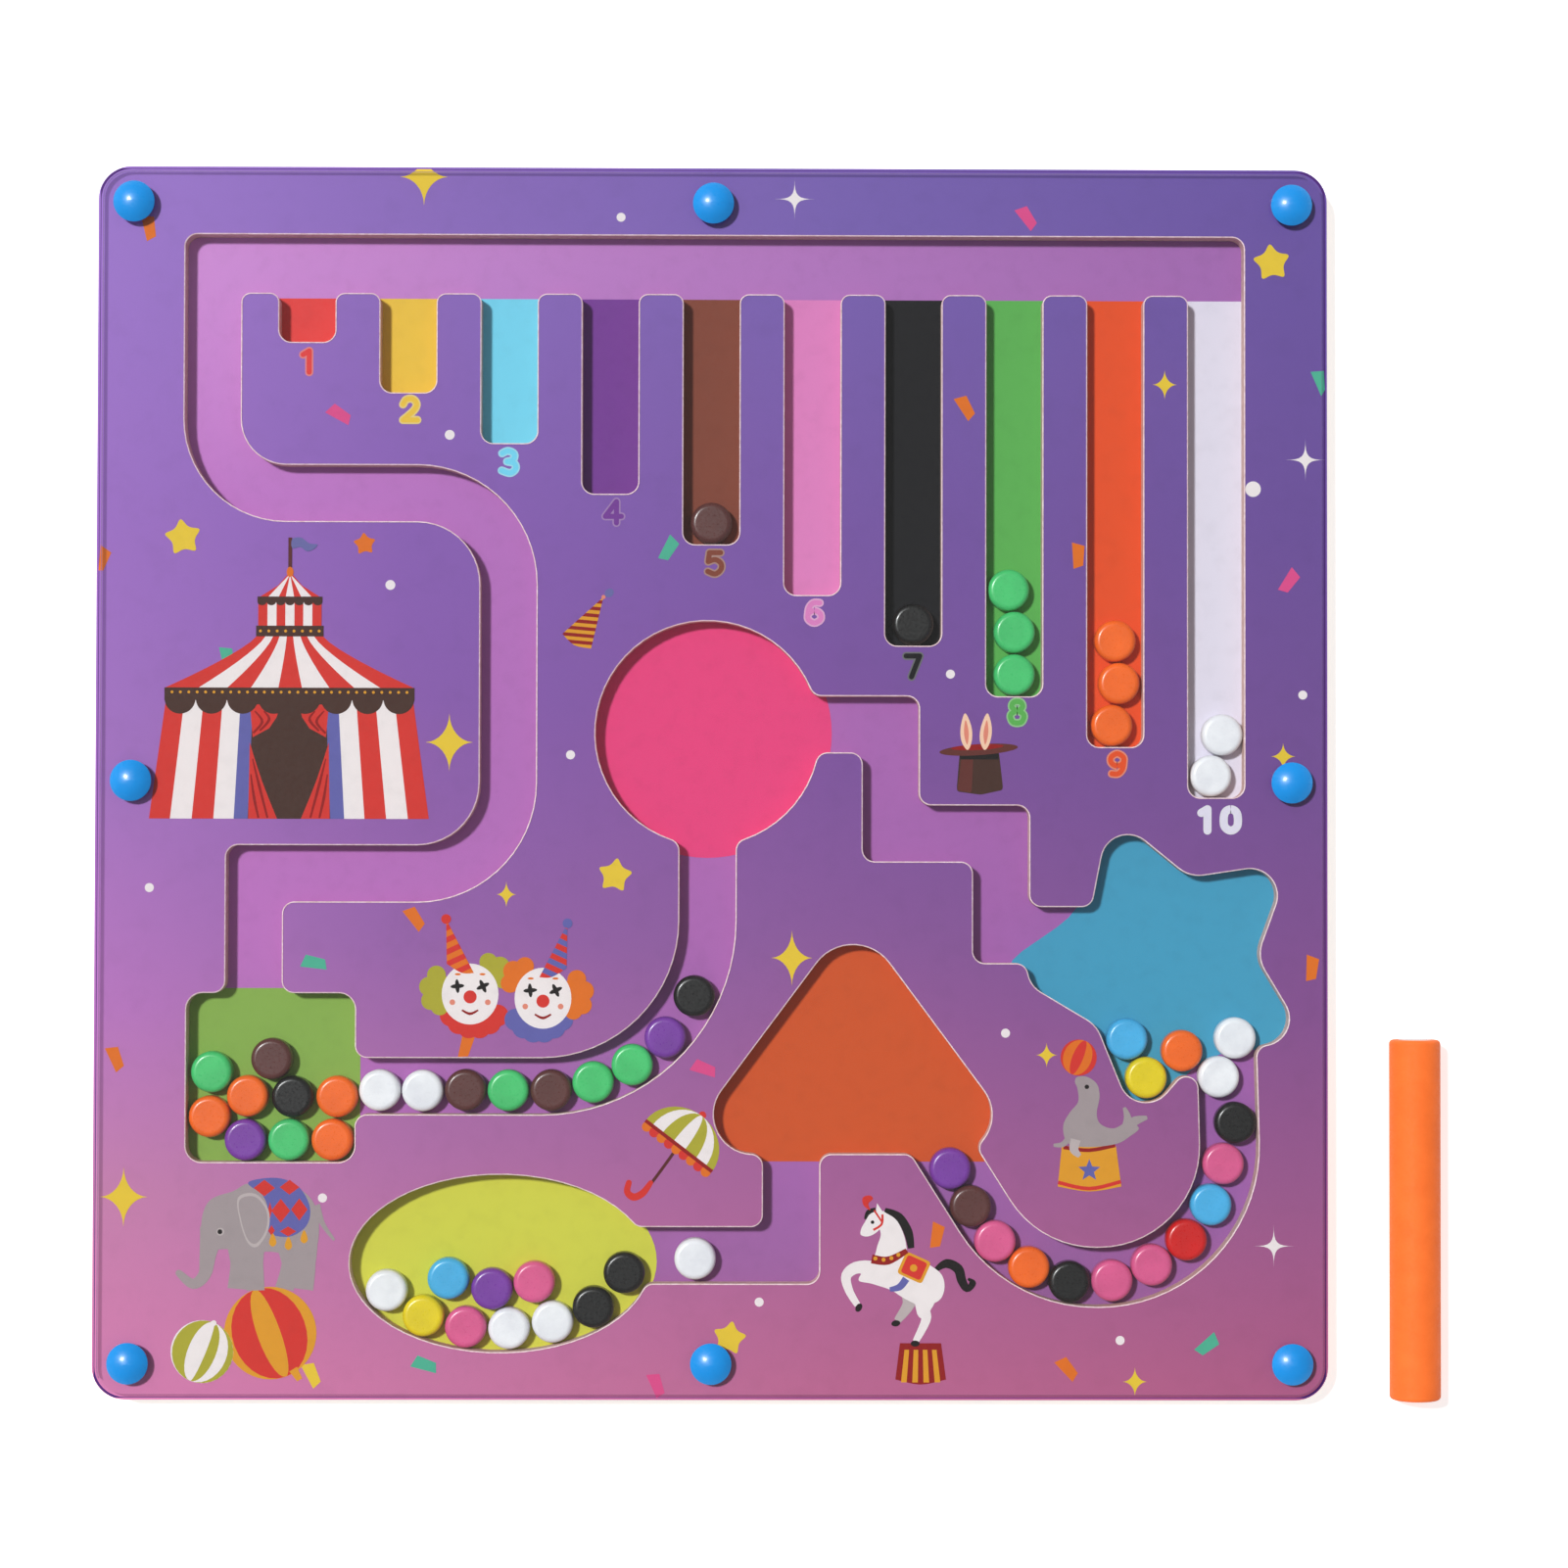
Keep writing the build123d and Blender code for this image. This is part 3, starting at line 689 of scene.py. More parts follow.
def worn_edges():
    """The raw fibre that shows as a thin light line where each channel is cut through the print."""
    board = nodes["channel_board"].data
    skin = 1e-6                      # points closer than this are one point
    outer_wall = (board_high.x - board_low.x) / 2 * 0.985
    outward, segments = {}, []
    for face in board.polygons:
        reach = max(abs(face.center.x - centre_x), abs(face.center.y - centre_y))
        if abs(face.normal.z) > 0.5 or reach > outer_wall:
            continue
        corners = [board.vertices[index].co for index in face.vertices]
        for a, b in zip(corners, corners[1:] + corners[:1]):
            if min(a.z, b.z) < top_level - skin or (a - b).length < skin:
                continue
            keys = [(round(p.x / skin), round(p.y / skin)) for p in (a, b)]
            segments.append((keys, (a, b)))
            for key in keys:
                outward.setdefault(key, Vector((0, 0, 0)))
                outward[key] += Vector((face.normal.x, face.normal.y, 0)) * (a - b).length
    width = 0.27 * unit
    low, high = top_level + ink_film, cover_low.z - ink_film * 2
    mesh = bmesh.new()
    for keys, ends in segments:
        rings = []
        for key, end in zip(keys, ends):
            back = end - outward[key].normalized() * width
            corners = ((end, low), (back, high), (back, top_level), (end, top_level))
            rings.append([mesh.verts.new((place.x, place.y, z)) for place, z in corners])
        first, second = rings
        mesh.faces.new(first[::-1])
        mesh.faces.new(second)
        for i in range(4):
            k = (i + 1) % 4
            mesh.faces.new((first[i], first[k], second[k], second[i]))
    bmesh.ops.recalc_face_normals(mesh, faces=mesh.faces)
    surface = Surface("worn_fibre", Specular_IOR_Level=0.1, roughness=0.8)
    surface.colour(fibre_colour(surface, (214, 178, 182), (246, 226, 232)))
    surface.join(surface.spread(surface.noise(1200), 0.7, 0.9), surface.shader.inputs["Roughness"])
    surface.bump(surface.noise(2600, 3), 0.00004, 0.6)
    printed_piece("worn_edges", mesh, [surface.material])


def edge_line():
    """A thin dark line round the rim of the print."""
    picture = Picture("edge_line", top_level)
    inset, corner = 0.4, 7.6
    reach = drawing_side / 2 - inset - corner
    loop = []
    for x, y, start in ((reach, reach, 0), (-reach, reach, 90), (-reach, -reach, 180), (reach, -reach, 270)):
        loop += arc(x, y, corner, start=start, end=start + 90, count=10)
    picture.lay(stroke(loop + loop[:1], 0.55, soft=False), "rim", (84, 56, 118))
    picture.finish()


def confetti():
    """Small slips of paper scattered over the print."""
    picture = Picture("confetti", top_level)
    for name, places in (
        ("pink", [(-91.3, 89.2, 48), (76.3, 138, 25), (140.5, 49.5, -45), (-2, -70, 60),
                  (-13.5, -146.5, 10)]),
        ("orange", [(-138, 135, 0), (61.3, 91.5, 20), (88.8, 55.5, -10), (-149, 54, -30),
                    (-72.5, -33.5, 25),
                    (-145, -67.5, 12), (-60, -64, -25), (54.5, -110, -20), (86.3, -142.5, 30),
                    (145.8, -45, -15)]),
        ("green", [(-11, 57, -40), (148.2, 98, 10), (-118.4, 29.6, 0), (-96.7, -44.5, 70),
                   (-69.5, -141.8, 62),
                   (120.5, -136.3, -62)]),
        ("yellow", [(-97, -144, 15)]),
    ):
        for x, y, angle in places:
            slip = [(x - 1.7, y + 2.9), (x + 1.5, y + 2.6), (x + 2, y - 2.2), (x - 0.2, y - 3.4)]
            picture.lay(turned(slip, x, y, angle), name)
    picture.finish()


def dots_and_stars():
    """White dots, glints and soft five-armed stars."""
    picture = Picture("dots_and_stars", top_level)
    for x, y, radius in [(-22.6, 137.9, 1.1), (-64.2, 84.5, 1.2), (-78.5, 47.8, 1.2), (-136.7, -26, 1.1),
                         (-34.5, 6.5, 1.1), (58, 26.4, 1.1), (144, 21.5, 1.1), (131.9, 71.8, 1.9),
                         (71.5, -61, 1.1),
                         (11.7, -126.3, 1.1), (99.4, -135.5, 1.1), (-94.3, -101.2, 1.1)]:
        picture.lay(arc(x, y, radius, count=24), "white")
    for x, y, across, up in [(-70.7, 147.6, 5.8, 7), (-64, 9.5, 5.8, 7), (110.3, 97.3, 3, 3.6),
                             (-50, -27.5, 2.4, 3.2), (19.5, -42.8, 5, 6.7), (139.2, 6.5, 3, 3.3),
                             (-142.5, -101, 5.8, 7.2), (81.5, -66.3, 2.6, 3), (103, -145.5, 3, 3.5)]:
        picture.lay(sparkle(x, y, across, up), "yellow")
    for x, y in [(19.8, 142.5), (144.7, 79), (136.8, -112.6)]:
        picture.lay(sparkle(x, y, 4.9, 5, 2.5), "white")
    for x, y, outer, turn, name in [(-129, 59.3, 4.9, 98, "yellow"), (136.5, 127.3, 5, 96, "yellow"),
                                    (-23.6, -22.8, 4.6, 82, "yellow"), (4.5, -135, 4.5, 80, "yellow"),
                                    (-84.8, 57.8, 3, 95, "orange")]:
        picture.lay(blunt(star(x, y, outer, outer * 0.56, turn=turn), 0.36), name)
    picture.finish()


def tent():
    """A striped show tent with a small turret, a flag and tied-back curtains."""
    picture = Picture("tent", top_level + ink_film)
    x = -102.9
    eaves, ridge = 22.7, 35.4
    wide, narrow = 30.2, 7.9

    def slope(share):
        """Half width of the roof at a share of its height."""
        return narrow + (wide - narrow) * (1 - share) ** 1.25

    def roof_band(first, last):
        heights = [k / 8 for k in range(9)]
        left = [(x + first * slope(h), eaves + (ridge - eaves) * h) for h in heights]
        right = [(x + last * slope(h), eaves + (ridge - eaves) * h) for h in heights]
        return left + right[::-1]

    picture.lay(roof_band(-1, 1), "red")
    for first, last in ((-0.73, -0.5), (-0.31, -0.09), (0.1, 0.32), (0.52, 0.73)):
        picture.lay(roof_band(first, last), "white")
    foot, head = (-9.2, 34), (20, 30)

    def wall_band(first, last):
        return [(x + first * foot[1], foot[0]), (x + last * foot[1], foot[0]),
                (x + last * head[1], head[0]), (x + first * head[1], head[0])]

    edges = [1, 0.85, 0.695, 0.54, 0.395, 0.295]
    for k, name in enumerate(("red", "white", "red", "white", "blue")):
        for side in (-1, 1):
            picture.lay(wall_band(side * edges[k], side * edges[k + 1]), name)
    picture.lay(wall_band(-0.295, 0.295), "brown")
    for side in (-1, 1):
        upper = [(9.6, 18.6), (2.2, 18.6), (3.1, 15.5), (4.9, 12.8), (8.9, 10.6)]
        lower = [(9.6, 9.4), (8.4, 5.4), (6.6, 0), (4.8, -4.6), (2.9, -9.2), (9.9, -9.2)]
        for outline in (upper, lower):
            picture.lay([(x + side * px, py) for px, py in outline], "red")
        for fold in ([(8.4, 17), (6.6, 14.4), (8.8, 11.6)], [(6.2, 17), (4.9, 14.9), (7.2, 12.2)],
                     [(8.9, 5.4), (7.3, -1), (5.2, -9)], [(9.3, 1.6), (8.5, -4), (7.4, -9)]):
            picture.lay(stroke([(x + side * px, py) for px, py in fold], [0.3, 0.7, 0.5]), "dark_red")
    picture.lay(box(x - 30.4, 19.6, x + 30.4, eaves), "brown")
    for k in range(8):
        picture.lay(arc(x + (k - 3.5) * 7.6, 20, 3.75, 3.7, 180, 360, count=14), "brown")
    for k in range(29):
        picture.lay(arc(x + (k - 14) * 2.04, 21.6, 0.36, count=10), "amber")
    picture.lay(box(x - 7.7, 37.6, x + 7.7, 43.6), "red")
    for offset in (-4.35, 0, 4.35):
        picture.lay(box(x + offset - 1.1, 37.6, x + offset + 1.1, 43.6), "white")
    picture.lay(box(x - 8.2, 35.2, x + 8.2, 37.8), "brown")
    for k in range(8):
        picture.lay(arc(x + (k - 3.5) * 2.04, 36.5, 0.36, count=10), "amber")
    picture.lay(box(x - 7.9, 43.5, x + 7.9, 44.9), "brown")
    for k in range(7):
        picture.lay(arc(x + (k - 3) * 2.26, 43.6, 1.12, 0.85, 180, 360, count=8), "brown")
    picture.lay([(x - 7.2, 44.9), (x + 7.2, 44.9), (x + 2.9, 47.6), (x + 0.5, 50.4), (x - 0.5, 50.4),
                 (x - 2.9, 47.6)],
                "red")
    for first, last in ((-5.2, -2.7), (-1, 1), (2.7, 5.2)):
        picture.lay([(x + first, 44.9), (x + last, 44.9), (x + last * 0.09, 49.9), (x + first * 0.09, 49.9)],
                    "white")
    picture.lay(box(x - 0.45, 51, x + 0.45, 59.3), "maroon")
    picture.lay(arc(x, 50.9, 0.85, 1.25, count=16), "orange")
    flag = [(x + 0.5, 58.9), (x + 2.6, 59.3), (x + 4.6, 57.9), (x + 6.6, 57.6), (x + 5.6, 56.4),
            (x + 4, 56),
            (x + 2.4, 57), (x + 0.5, 56.7)]
    picture.lay(smooth(flag), "slate")
    picture.finish()


def top_hat():
    """A tall hat with two long ears standing out of it."""
    picture = Picture("top_hat", top_level)
    picture.lay(blunt([(59.5, -2.2), (60.3, 7.6), (69.8, 7.8), (70.9, -1.8), (65.4, -3)], 0.12), "brown")
    picture.lay(blunt([(59.7, -2), (60.8, 6.6), (63.6, 6.6), (63.2, -2.5)], 0.1), "hat")
    picture.lay(box(60.3, 5.6, 69.8, 7.4), "dark")
    picture.lay(arc(64.9, 8, 9.6, 1.35, turn=4), "hat")
    picture.lay(arc(64.6, 8.6, 6.4, 0.7, turn=3), "dark_red")
    for x, tilt in ((62.2, 4), (66.4, -4)):
        leaf = [(x, 7.9), (x - 1.35, 10.2), (x - 1.3, 13.6), (x, 16.9), (x + 1.3, 13.6), (x + 1.2, 10.2)]
        picture.lay(turned(smooth(leaf), x, 8, tilt), "cream")
        inner = [(x, 9.2), (x - 0.55, 11.2), (x - 0.5, 13.2), (x, 15.2), (x + 0.5, 13.2), (x + 0.5, 11.2)]
        picture.lay(turned(smooth(inner), x, 8, tilt), "rose")
    picture.finish()


def striped_cone(picture, tip, left, right, inks, stripes, tilt, pom_radius, pom_ink):
    """A pointed party hat with even stripes and a ball on its tip."""
    middle = [(left[k] + right[k]) / 2 for k in (0, 1)]
    rim = [middle[k] + (middle[k] - tip[k]) * 0.09 for k in (0, 1)]
    cone = [tip] + smooth([left, rim, right], closed=False, steps=4)
    picture.lay(cone, inks[0])
    heights = [y for x, y in turned(cone, 0, 0, -tilt)]
    low, step = min(heights), (max(heights) - min(heights)) / (2 * stripes + 1)
    for k in range(stripes):
        band = between(cone, low + (2 * k + 1) * step, low + (2 * k + 2) * step, tilt)
        picture.lay(band, inks[1])
    picture.lay(arc(tip[0], tip[1], pom_radius, count=18), pom_ink)


def party_hat():
    """A small striped cone hat."""
    picture = Picture("party_hat", top_level)
    picture.lay(arc(-25.2, 46, 1.2, 1, turn=40, count=18), "slate")
    striped_cone(picture, (-26.6, 45), (-36.6, 36), (-29.6, 32.4), ("amber", "dark_red"), 7, -5, 0.5,
                 "rose")
    picture.finish()


def clown_heads():
    """Two round white masks with coloured hair, cone hats and ruffs."""
    picture = Picture("clown_heads", top_level + ink_film)
    for x, y, hair, ruff, hat, side in (
        (-58.7, -51.7, "olive", "red", ("orange", "red"), -1),
        (-41, -52.7, "orange", "blue", ("red", "blue"), 1),
    ):
        for k in range(6):
            angle = math.radians(215 + 22 * k)
            picture.lay(arc(x - side * 1.0 + 6.9 * math.cos(angle), y - 1.2 + 7.0 * math.sin(angle), 2.7,
                            count=20), ruff)
        for puff_x, puff_y, radius in ((8.2, 4.6, 2.3), (10, 1.8, 2.4), (9.6, -1.6, 2.3), (7.4, -3, 2.2),
                                       (7.2, 1.4, 3.2), (-4.4, 7.8, 2.2), (-7.2, 6.6, 2.5), (-8, 3.6, 2.3),
                                       (-5.6, 4.6, 3)):
            picture.lay(arc(x + side * puff_x, y + puff_y, radius, count=20), hair)
        picture.lay(arc(x, y, 6.9, 7.4, count=40), "white")
        for eye in (-1, 1):
            for tilt in (15, 105):
                petal = arc(x + eye * 3.1, y + 1.9, 1.7, 0.55, turn=tilt + eye * 10, count=16)
                picture.lay(petal, "dark")
            picture.lay(arc(x + eye * 3, y + 4.8, 0.75, 0.28, count=12), "orange")
            picture.lay(arc(x + eye * 4.3, y - 2, 0.7, count=14), "rose")
        picture.lay(arc(x, y - 0.7, 1.6, count=20), "red")
        picture.lay(stroke([(x - 2, y - 3.9), (x, y - 4.8), (x + 2, y - 3.9)], [0.4, 0.7, 0.4]),
                    "dark_red")
        lean = x + side * 2.4
        striped_cone(picture, (x + side * 5.9, y + 18.2), (lean - 3.3, y + 6.2 - side * 1.1),
                     (lean + 3.3, y + 6.2 + side * 1.1), hat, 5, -side * 25, 1.2, hat[1])
    picture.finish()


def elephant():
    """An elephant in a chequered blanket beside two play balls."""
    picture = Picture("elephant", top_level + ink_film)
    picture.lay(stroke([(-96, -103), (-94.2, -107.5), (-91.4, -111.4)], [2.4, 1.2, 0.6]), "grey")
    for points, widths in (
        ([(-98.6, -110), (-98.2, -117), (-98.9, -123.3)], [7, 4.6, 5]),
        ([(-103, -110), (-102.2, -117), (-103.4, -123.2)], [7, 3.8, 4.6]),
        ([(-111, -110), (-110.6, -117), (-110.4, -123.6)], [6, 4, 4.4]),
        ([(-115, -110), (-114.5, -117), (-114.9, -123.2)], [6, 4, 4.6]),
    ):
        picture.lay(stroke(points, widths), "grey")
    body = [(-113, -98.6), (-107, -97.2), (-101.5, -98.2), (-97, -101.5), (-95.2, -106.5), (-95.6, -113),
            (-98.4, -116.4), (-103, -115), (-108, -114.2), (-114.5, -116), (-116.5, -110), (-116, -102)]
    picture.lay(smooth(body), "grey")
    picture.lay(smooth([(-116, -99.6), (-112, -98), (-111, -105), (-113, -112.5), (-118, -113.6),
                        (-122.6, -113),
                        (-123.6, -107), (-121.6, -101.8)]), "grey")
    picture.lay(stroke([(-121, -109), (-122, -115), (-122.8, -119.8), (-125.6, -122), (-129, -119.4)],
                       [6, 4, 3, 2.5, 1.6], round_ends=True), "grey")
    picture.lay(arc(-119, -109.4, 0.95, count=16), "light_grey")
    picture.lay(arc(-119.1, -109.4, 0.6, count=14), "dark")
    blanket = smooth([(-112.4, -97.6), (-108, -96.4), (-103.5, -96.7), (-99.6, -99), (-97.3, -103.6),
                      (-98.2, -108),
                      (-102.4, -110.6), (-107.4, -109.4), (-107.4, -104.4), (-108.8, -100.6)])
    picture.lay(blanket, "blue")
    for x, y, half_x, half_y in ((-104.4, -104.3, 2.3, 2.9), (-99.9, -104, 2, 2.7),
                                 (-102.3, -98.6, 2.4, 1.8),
                                 (-108.4, -98.8, 2.6, 2), (-102.6, -109.3, 2, 1.2),
                                 (-106.6, -109.1, 0.8, 1.3),
                                 (-107, -104.2, 0.5, 2)):
        picture.lay([(x - half_x, y), (x, y - half_y), (x + half_x, y), (x, y + half_y)], "red")
    for x, y in ((-106.3, -111.4), (-102.5, -112.2), (-98.7, -110.6)):
        picture.lay(smooth([(x, y + 1.6), (x + 0.9, y - 0.6), (x, y - 1.6), (x - 0.9, y - 0.6)]), "amber")
    ear = smooth([(-114.8, -101.2), (-110.6, -100.2), (-107.4, -104), (-107.4, -109), (-110, -113),
                  (-112.4, -112),
                  (-114.2, -107)])
    picture.lay(ear, "light_grey")
    middle = (-111.6, -106.2)
    picture.lay([tuple(m + (p - m) * 0.88 for p, m in zip(point, middle)) for point in ear], "grey")
    picture.finish()

    balls = Picture("play_balls", top_level + ink_film)
    x, y, radius, tilt = -106.8, -133.9, 11.2, 20
    balls.lay(arc(x, y, radius, count=48), "amber")
    for first, last in ((-0.82, -0.28), (0.22, 0.78)):
        balls.lay(gore(x, y, radius, tilt, first, last), "red")
    balls.lay(stroke([(-101.2, -142.6), (-99.6, -145.2)], [2.2, 1.4]), "amber")
    x, y, radius, tilt = -123.3, -138.4, 7.6, -22
    balls.lay(arc(x, y, radius, count=40), "white")
    for first, last in ((-0.95, -0.45), (0.12, 0.45), (0.8, 1)):
        balls.lay(gore(x, y, radius, tilt, first, last), "olive")
    balls.lay(arc(-120.5, -131.5, 0.7, count=12), "white")
    balls.finish()


def umbrella():
    """An open striped umbrella with a hooked handle."""
    picture = Picture("umbrella", top_level)
    x, y = -7.9, -88.5               # middle of the open edge
    tilt = -37.4
    half, rise = 10.2, 9.2

    def panel(first, last):
        angles = [math.radians(10 * k) for k in range(10)]
        sides = [[(x + share * half * math.cos(angle), y + rise * math.sin(angle)) for angle in angles]
                 for share in (first, last)]
        return turned(sides[0] + sides[1][-2::-1], x, y, tilt)

    picture.lay(turned(arc(x, y + rise + 0.2, 0.95, count=16), x, y, tilt), "red")
    picture.lay(stroke([(-8.9, -89.8), (-12.2, -94.4), (-15.2, -98.4)], 0.75), "maroon")
    picture.lay(stroke([(-14.7, -97.4), (-16.6, -99.9), (-18.8, -100.9), (-20.4, -99.6), (-20, -97.4)],
                       [1.2, 1.7, 1.8, 1.6, 1.4], round_ends=True), "red")
    bounds = [-1, -0.8, -0.5, -0.17, 0.17, 0.5, 0.8, 1]
    for k in range(7):
        picture.lay(panel(bounds[k], bounds[k + 1]), "olive" if k % 2 == 0 else "white")
    for k in range(9):
        spot = turned([(x + (k - 4) * 2.25, y - 1)], x, y, tilt)[0]
        picture.lay(arc(spot[0], spot[1], 1.25, count=16), "orange" if k % 2 == 0 else "red")
    picture.lay(turned(box(x - half, y - 0.45, x + half, y + 0.45), x, y, tilt), "dark_red")
    picture.finish()


def stand(picture, left, right, foot_left, foot_right, top, bottom, ink_name):
    """A low round stand seen from the side, with a bowed foot."""
    bow = [(foot_left, bottom), ((foot_left + foot_right) / 2, bottom - 1.2), (foot_right, bottom)]
    picture.lay([(right, top), (left, top)] + smooth(bow, closed=False, steps=6), ink_name)


def seal():
    """A seal on a round stand, balancing a ball."""
    picture = Picture("seal", top_level + ink_film)
    stand(picture, 85.2, 98.4, 84.2, 99.7, -88.4, -98.2, "amber")
    picture.lay(stroke([(85.6, -88.7), (91.8, -89.4), (98.2, -88.2)], 0.9), "dark_red")
    picture.lay(stroke([(84.3, -97.2), (91.9, -98.7), (99.6, -97)], 0.9), "red")
    picture.lay(star(91.9, -94.3, 2.8, 1.2), "blue")
    body = [(89, -71.6), (91.4, -71.6), (93.8, -73.4), (94.4, -76.5), (93.7, -80.4), (94.6, -83),
            (97.8, -84.1),
            (101.2, -82.6), (104, -84), (101.5, -86.2), (98.6, -87.8), (93, -88.6), (88, -88.3),
            (86, -86.6),
            (85.6, -83.2), (87.2, -80.2), (89.2, -77.6), (89, -74.4), (88.4, -72.8)]
    picture.lay(stroke([(87, -86.4), (85.4, -88), (83.2, -88.2)], [1.6, 1.3, 0.7]), "grey")
    picture.lay(smooth(body), "grey")
    picture.lay(stroke([(101, -83.6), (103.2, -82.2), (106, -81.4)], [2.4, 2.2, 0.8]), "grey")
    picture.lay(stroke([(100.8, -83.8), (101.2, -81.4), (100.4, -79)], [2, 1.8, 0.7]), "grey")
    picture.lay(stroke([(88.6, -86.8), (88.2, -89.2), (89.6, -90.8)], [2.4, 2.2, 1]), "light_grey")
    picture.lay(arc(91.3, -74, 0.55, count=12), "dark")
    x, y, radius = 89.3, -66.9, 4.4
    picture.lay(arc(x, y, radius, count=32), "orange")
    for first, last in ((-0.35, 0.25), (0.72, 1), (-1, -0.85)):
        picture.lay(gore(x, y, radius, -22, first, last), "red")
    picture.finish()


def horse():
    """A prancing horse with saddle and plume on a striped stand."""
    picture = Picture("horse", top_level + ink_film)
    left, right, foot_left, foot_right, top, bottom = 45.9, 55.9, 44.8, 57.1, -136.2, -145.0
    stand(picture, left, right, foot_left, foot_right, top, bottom, "dark_red")
    stripes = 9
    for k in range(1, stripes, 2):
        first, last = k / stripes, (k + 1) / stripes
        picture.lay([(foot_left + (foot_right - foot_left) * first, bottom - 0.7),
                     (foot_left + (foot_right - foot_left) * last, bottom - 0.7),
                     (left + (right - left) * last, top - 1.6),
                     (left + (right - left) * first, top - 1.6)], "amber")
    tail = [(54.6, -118.4), (57.2, -116.9), (60, -118.2), (60.9, -121), (62.2, -123), (63.8, -121.6),
            (62.4, -120.6)]
    picture.lay(stroke(tail, [1, 2.2, 2.4, 2.2, 1.7, 1.2, 0.6]), "dark")
    picture.lay(stroke([(48.6, -123), (47.9, -127), (45.2, -130.8)], [5.5, 2.9, 1.7]), "light_grey")
    picture.lay(smooth([(39, -117), (44, -116), (48.5, -114.6), (53, -117.2), (56, -119.6),
                        (56.7, -123),
                        (55.2, -126), (51, -127), (47, -125.4), (43.6, -123.3), (39, -121.8),
                        (35.8, -120.8)]), "white")
    picture.lay(smooth([(41.2, -104.4), (43.6, -104.8), (46, -108), (47.4, -112.5), (47, -117),
                        (40, -117.4),
                        (40.2, -113.4), (41.2, -110), (40.6, -107.2)]), "white")
    picture.lay(stroke([(41.5, -119), (36, -117.8), (32.9, -119.8), (33.5, -123.4), (35.6, -127)],
                       [5, 3, 2.5, 2, 1.5]), "white")
    picture.lay(stroke([(52.6, -122.5), (51.6, -128), (52.2, -130.6), (49.7, -135.8)],
                       [7.4, 3.6, 2.3, 1.5]), "white")
    picture.lay(smooth([(38.4, -104.2), (41, -103.8), (42.1, -106.2), (40.8, -108.8), (38.4, -110.3),
                        (36.4, -110),
                        (36.5, -108.4), (37.6, -106.4)]), "white")
    picture.lay([(40, -104.4), (40.3, -102.3), (41.8, -104.6)], "white")
    for x, y, angle in ((35.9, -127.6, 60), (44.9, -131.4, 10), (49.6, -136.3, 0)):
        picture.lay(arc(x, y, 1.1, 0.75, turn=angle, count=14), "dark")
    picture.lay(stroke([(42.2, -103.9), (45.6, -105.6), (47.8, -109.2), (48.6, -113.2)],
                       [1, 2, 2.2, 1.5]), "dark")
    picture.lay(stroke([(40, -103.8), (38.2, -104.5), (37.4, -106.2)], [0.9, 1.2, 0.5]), "dark")
    picture.lay(turned(blunt(box(46, -120.8, 52.6, -115), 0.15), 49.3, -117.9, -24), "amber")
    picture.lay(turned(blunt(box(46.7, -120.2, 51.9, -115.6), 0.15), 49.3, -117.9, -24), "red")
    picture.lay(arc(49.2, -118, 0.9, count=12), "amber")
    picture.lay(stroke([(39, -115.8), (43, -116.2), (47.6, -113.8)], [2.2, 2, 1.2]), "dark_red")
    for x, y in ((39.9, -115.7), (41.9, -116), (43.8, -115.6), (45.5, -114.8)):
        picture.lay(arc(x, y, 0.5, count=10), "amber")
    picture.lay(stroke([(47.4, -120.6), (45.8, -122.6), (43.4, -123.2)], [1.8, 1.7, 1]), "blue")
    picture.lay(stroke([(41.6, -105), (41.4, -107.4), (39.4, -108.8)], 0.55), "red")
    picture.lay(stroke([(39.6, -104), (41.6, -107)], 0.45, soft=False), "red")
    picture.lay(arc(39.2, -106.9, 0.45, count=10), "dark")
    picture.lay(smooth([(38.6, -104), (37, -102.8), (36.8, -101), (38.4, -100.4), (39.3, -101.2),
                        (38.2, -102.4)]),
                "red")
    picture.finish()


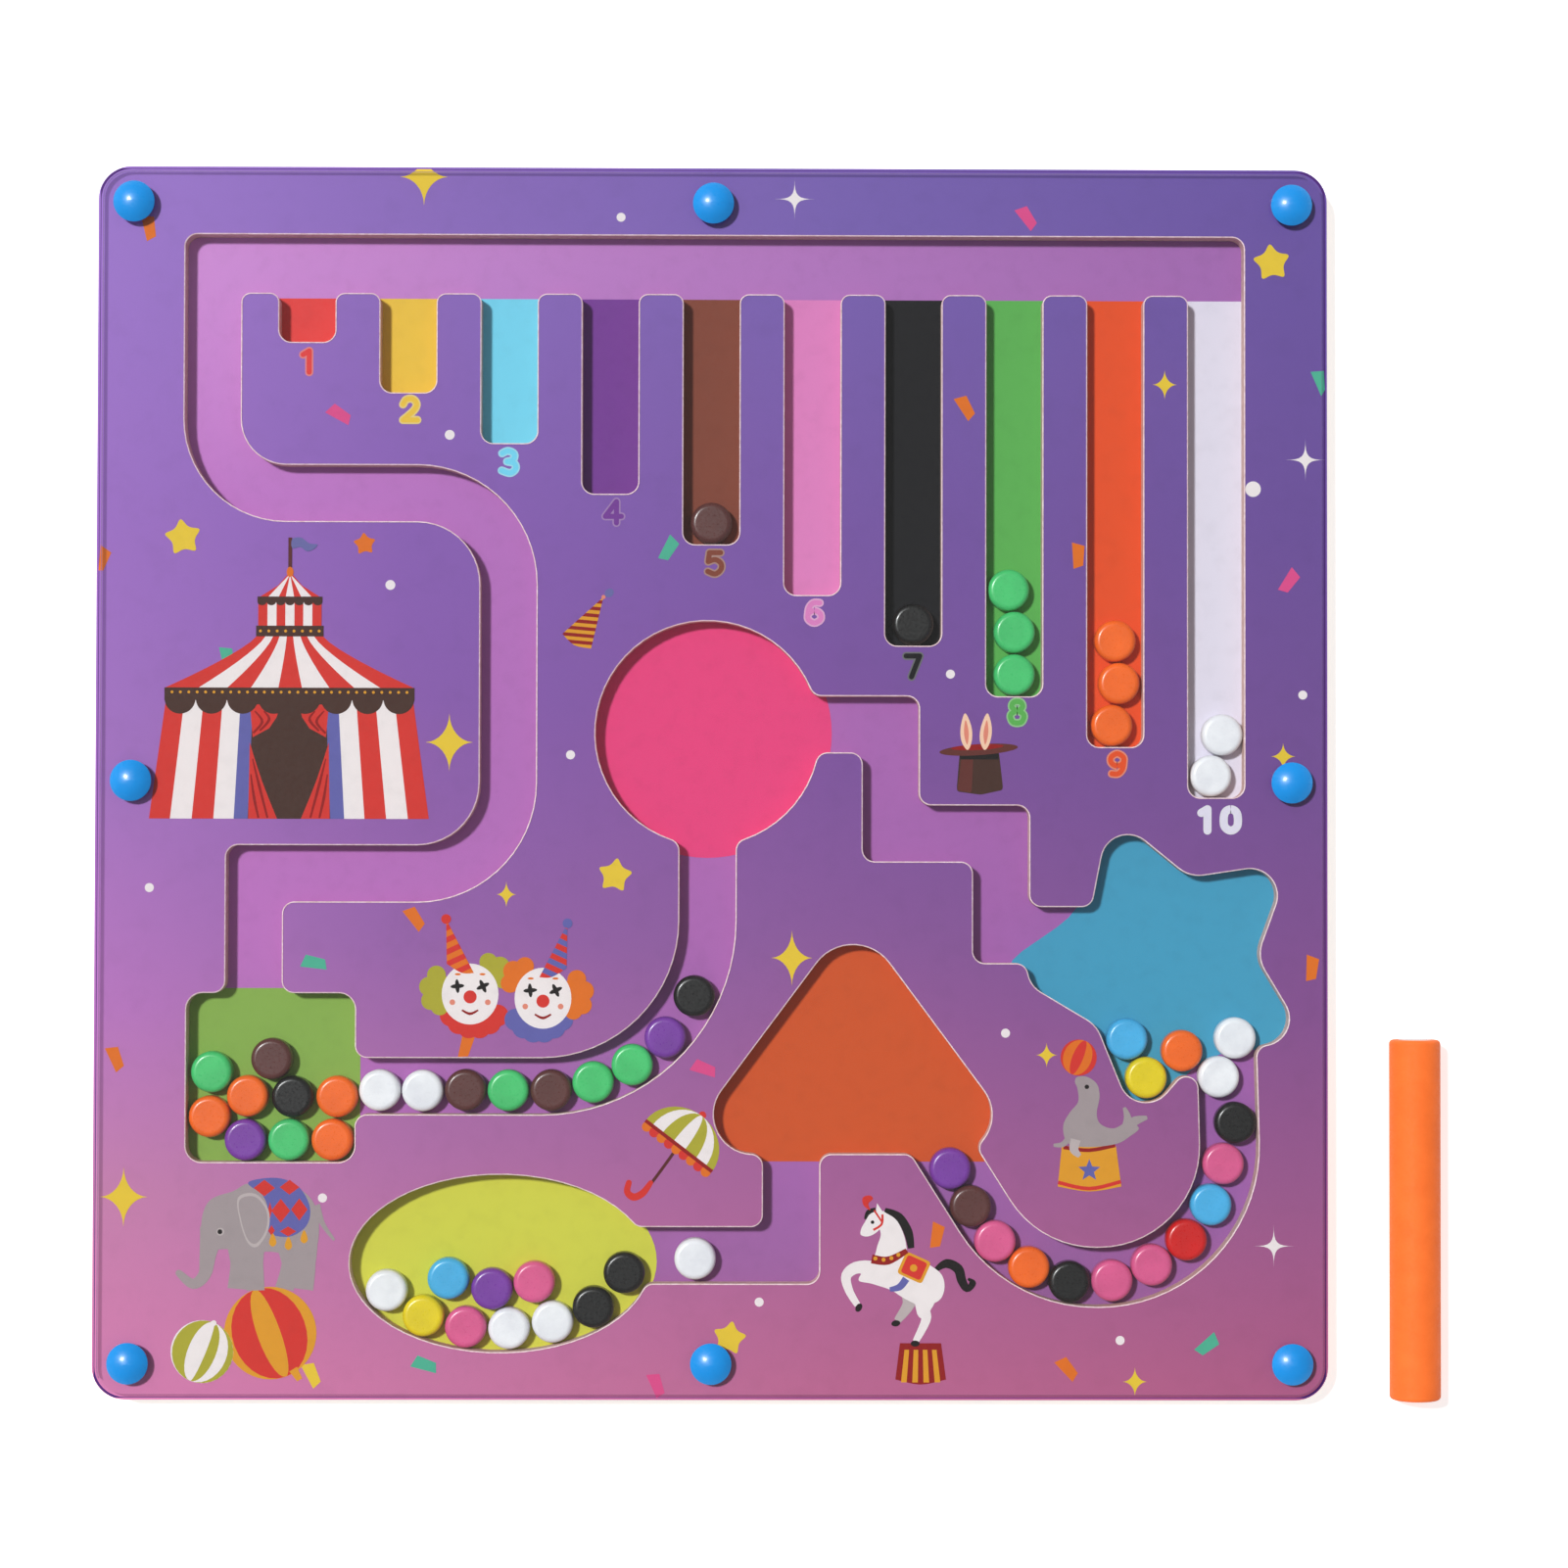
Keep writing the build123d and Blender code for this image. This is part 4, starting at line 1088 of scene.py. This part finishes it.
for draw in (floor_pictures, numbers, worn_edges, edge_line, confetti, dots_and_stars, tent, top_hat,
             party_hat,
             clown_heads, elephant, umbrella, seal, horse):
    draw()


# ---------------------------------------------------------------- floor, light and camera
def studio():
    """A plain pale floor, one soft key light from the upper left and an even fill."""
    data = bpy.data.meshes.new("studio_floor")
    reach, drop = 30, 0.00005
    corners = [(-reach, -reach, -drop), (reach, -reach, -drop), (reach, reach, -drop), (-reach, reach, -drop)]
    data.from_pydata(corners, [], [(0, 1, 2, 3)])
    floor = bpy.data.objects.new("studio_floor", data)
    bpy.context.scene.collection.objects.link(floor)
    surface = Surface("studio_paper", roughness=0.9)
    tone = surface.noise(3, 2)
    surface.colour(surface.ramp(tone, [(0.3, (0.82, 0.82, 0.82, 1)), (0.7, (0.86, 0.86, 0.86, 1))]))
    surface.shader.inputs["Emission Color"].default_value = (1, 1, 1, 1)
    surface.shader.inputs["Emission Strength"].default_value = 0.62
    data.materials.append(surface.material)

    key = bpy.data.lights.new("key", "SUN")
    key.energy = 3.3
    key.angle = math.radians(6)
    lamp = bpy.data.objects.new("key", key)
    bpy.context.scene.collection.objects.link(lamp)
    lamp.rotation_mode = "QUATERNION"
    lamp.rotation_quaternion = Vector((2.3, -1.55, -5)).to_track_quat("-Z", "Y")

    world = bpy.data.worlds.new("studio")
    bpy.context.scene.world = world
    world.use_nodes = True
    sky = world.node_tree.nodes["Background"]
    sky.inputs["Color"].default_value = (1, 1, 1, 1)
    sky.inputs["Strength"].default_value = 0.3
    bpy.context.scene.view_settings.view_transform = "Standard"


def camera():
    """Almost straight above, a little below the middle, as the photograph was taken."""
    data = bpy.data.cameras.new("camera")
    data.sensor_width = 36.0
    data.lens = 84.12
    data.clip_start = 0.01
    eye = bpy.data.objects.new("camera", data)
    bpy.context.scene.collection.objects.link(eye)
    eye.location = (0.00952, -0.02021, 0.9)
    eye.rotation_euler = [math.radians(angle) for angle in (1.266, -0.514, 0.117)]
    bpy.context.scene.camera = eye


studio()
camera()
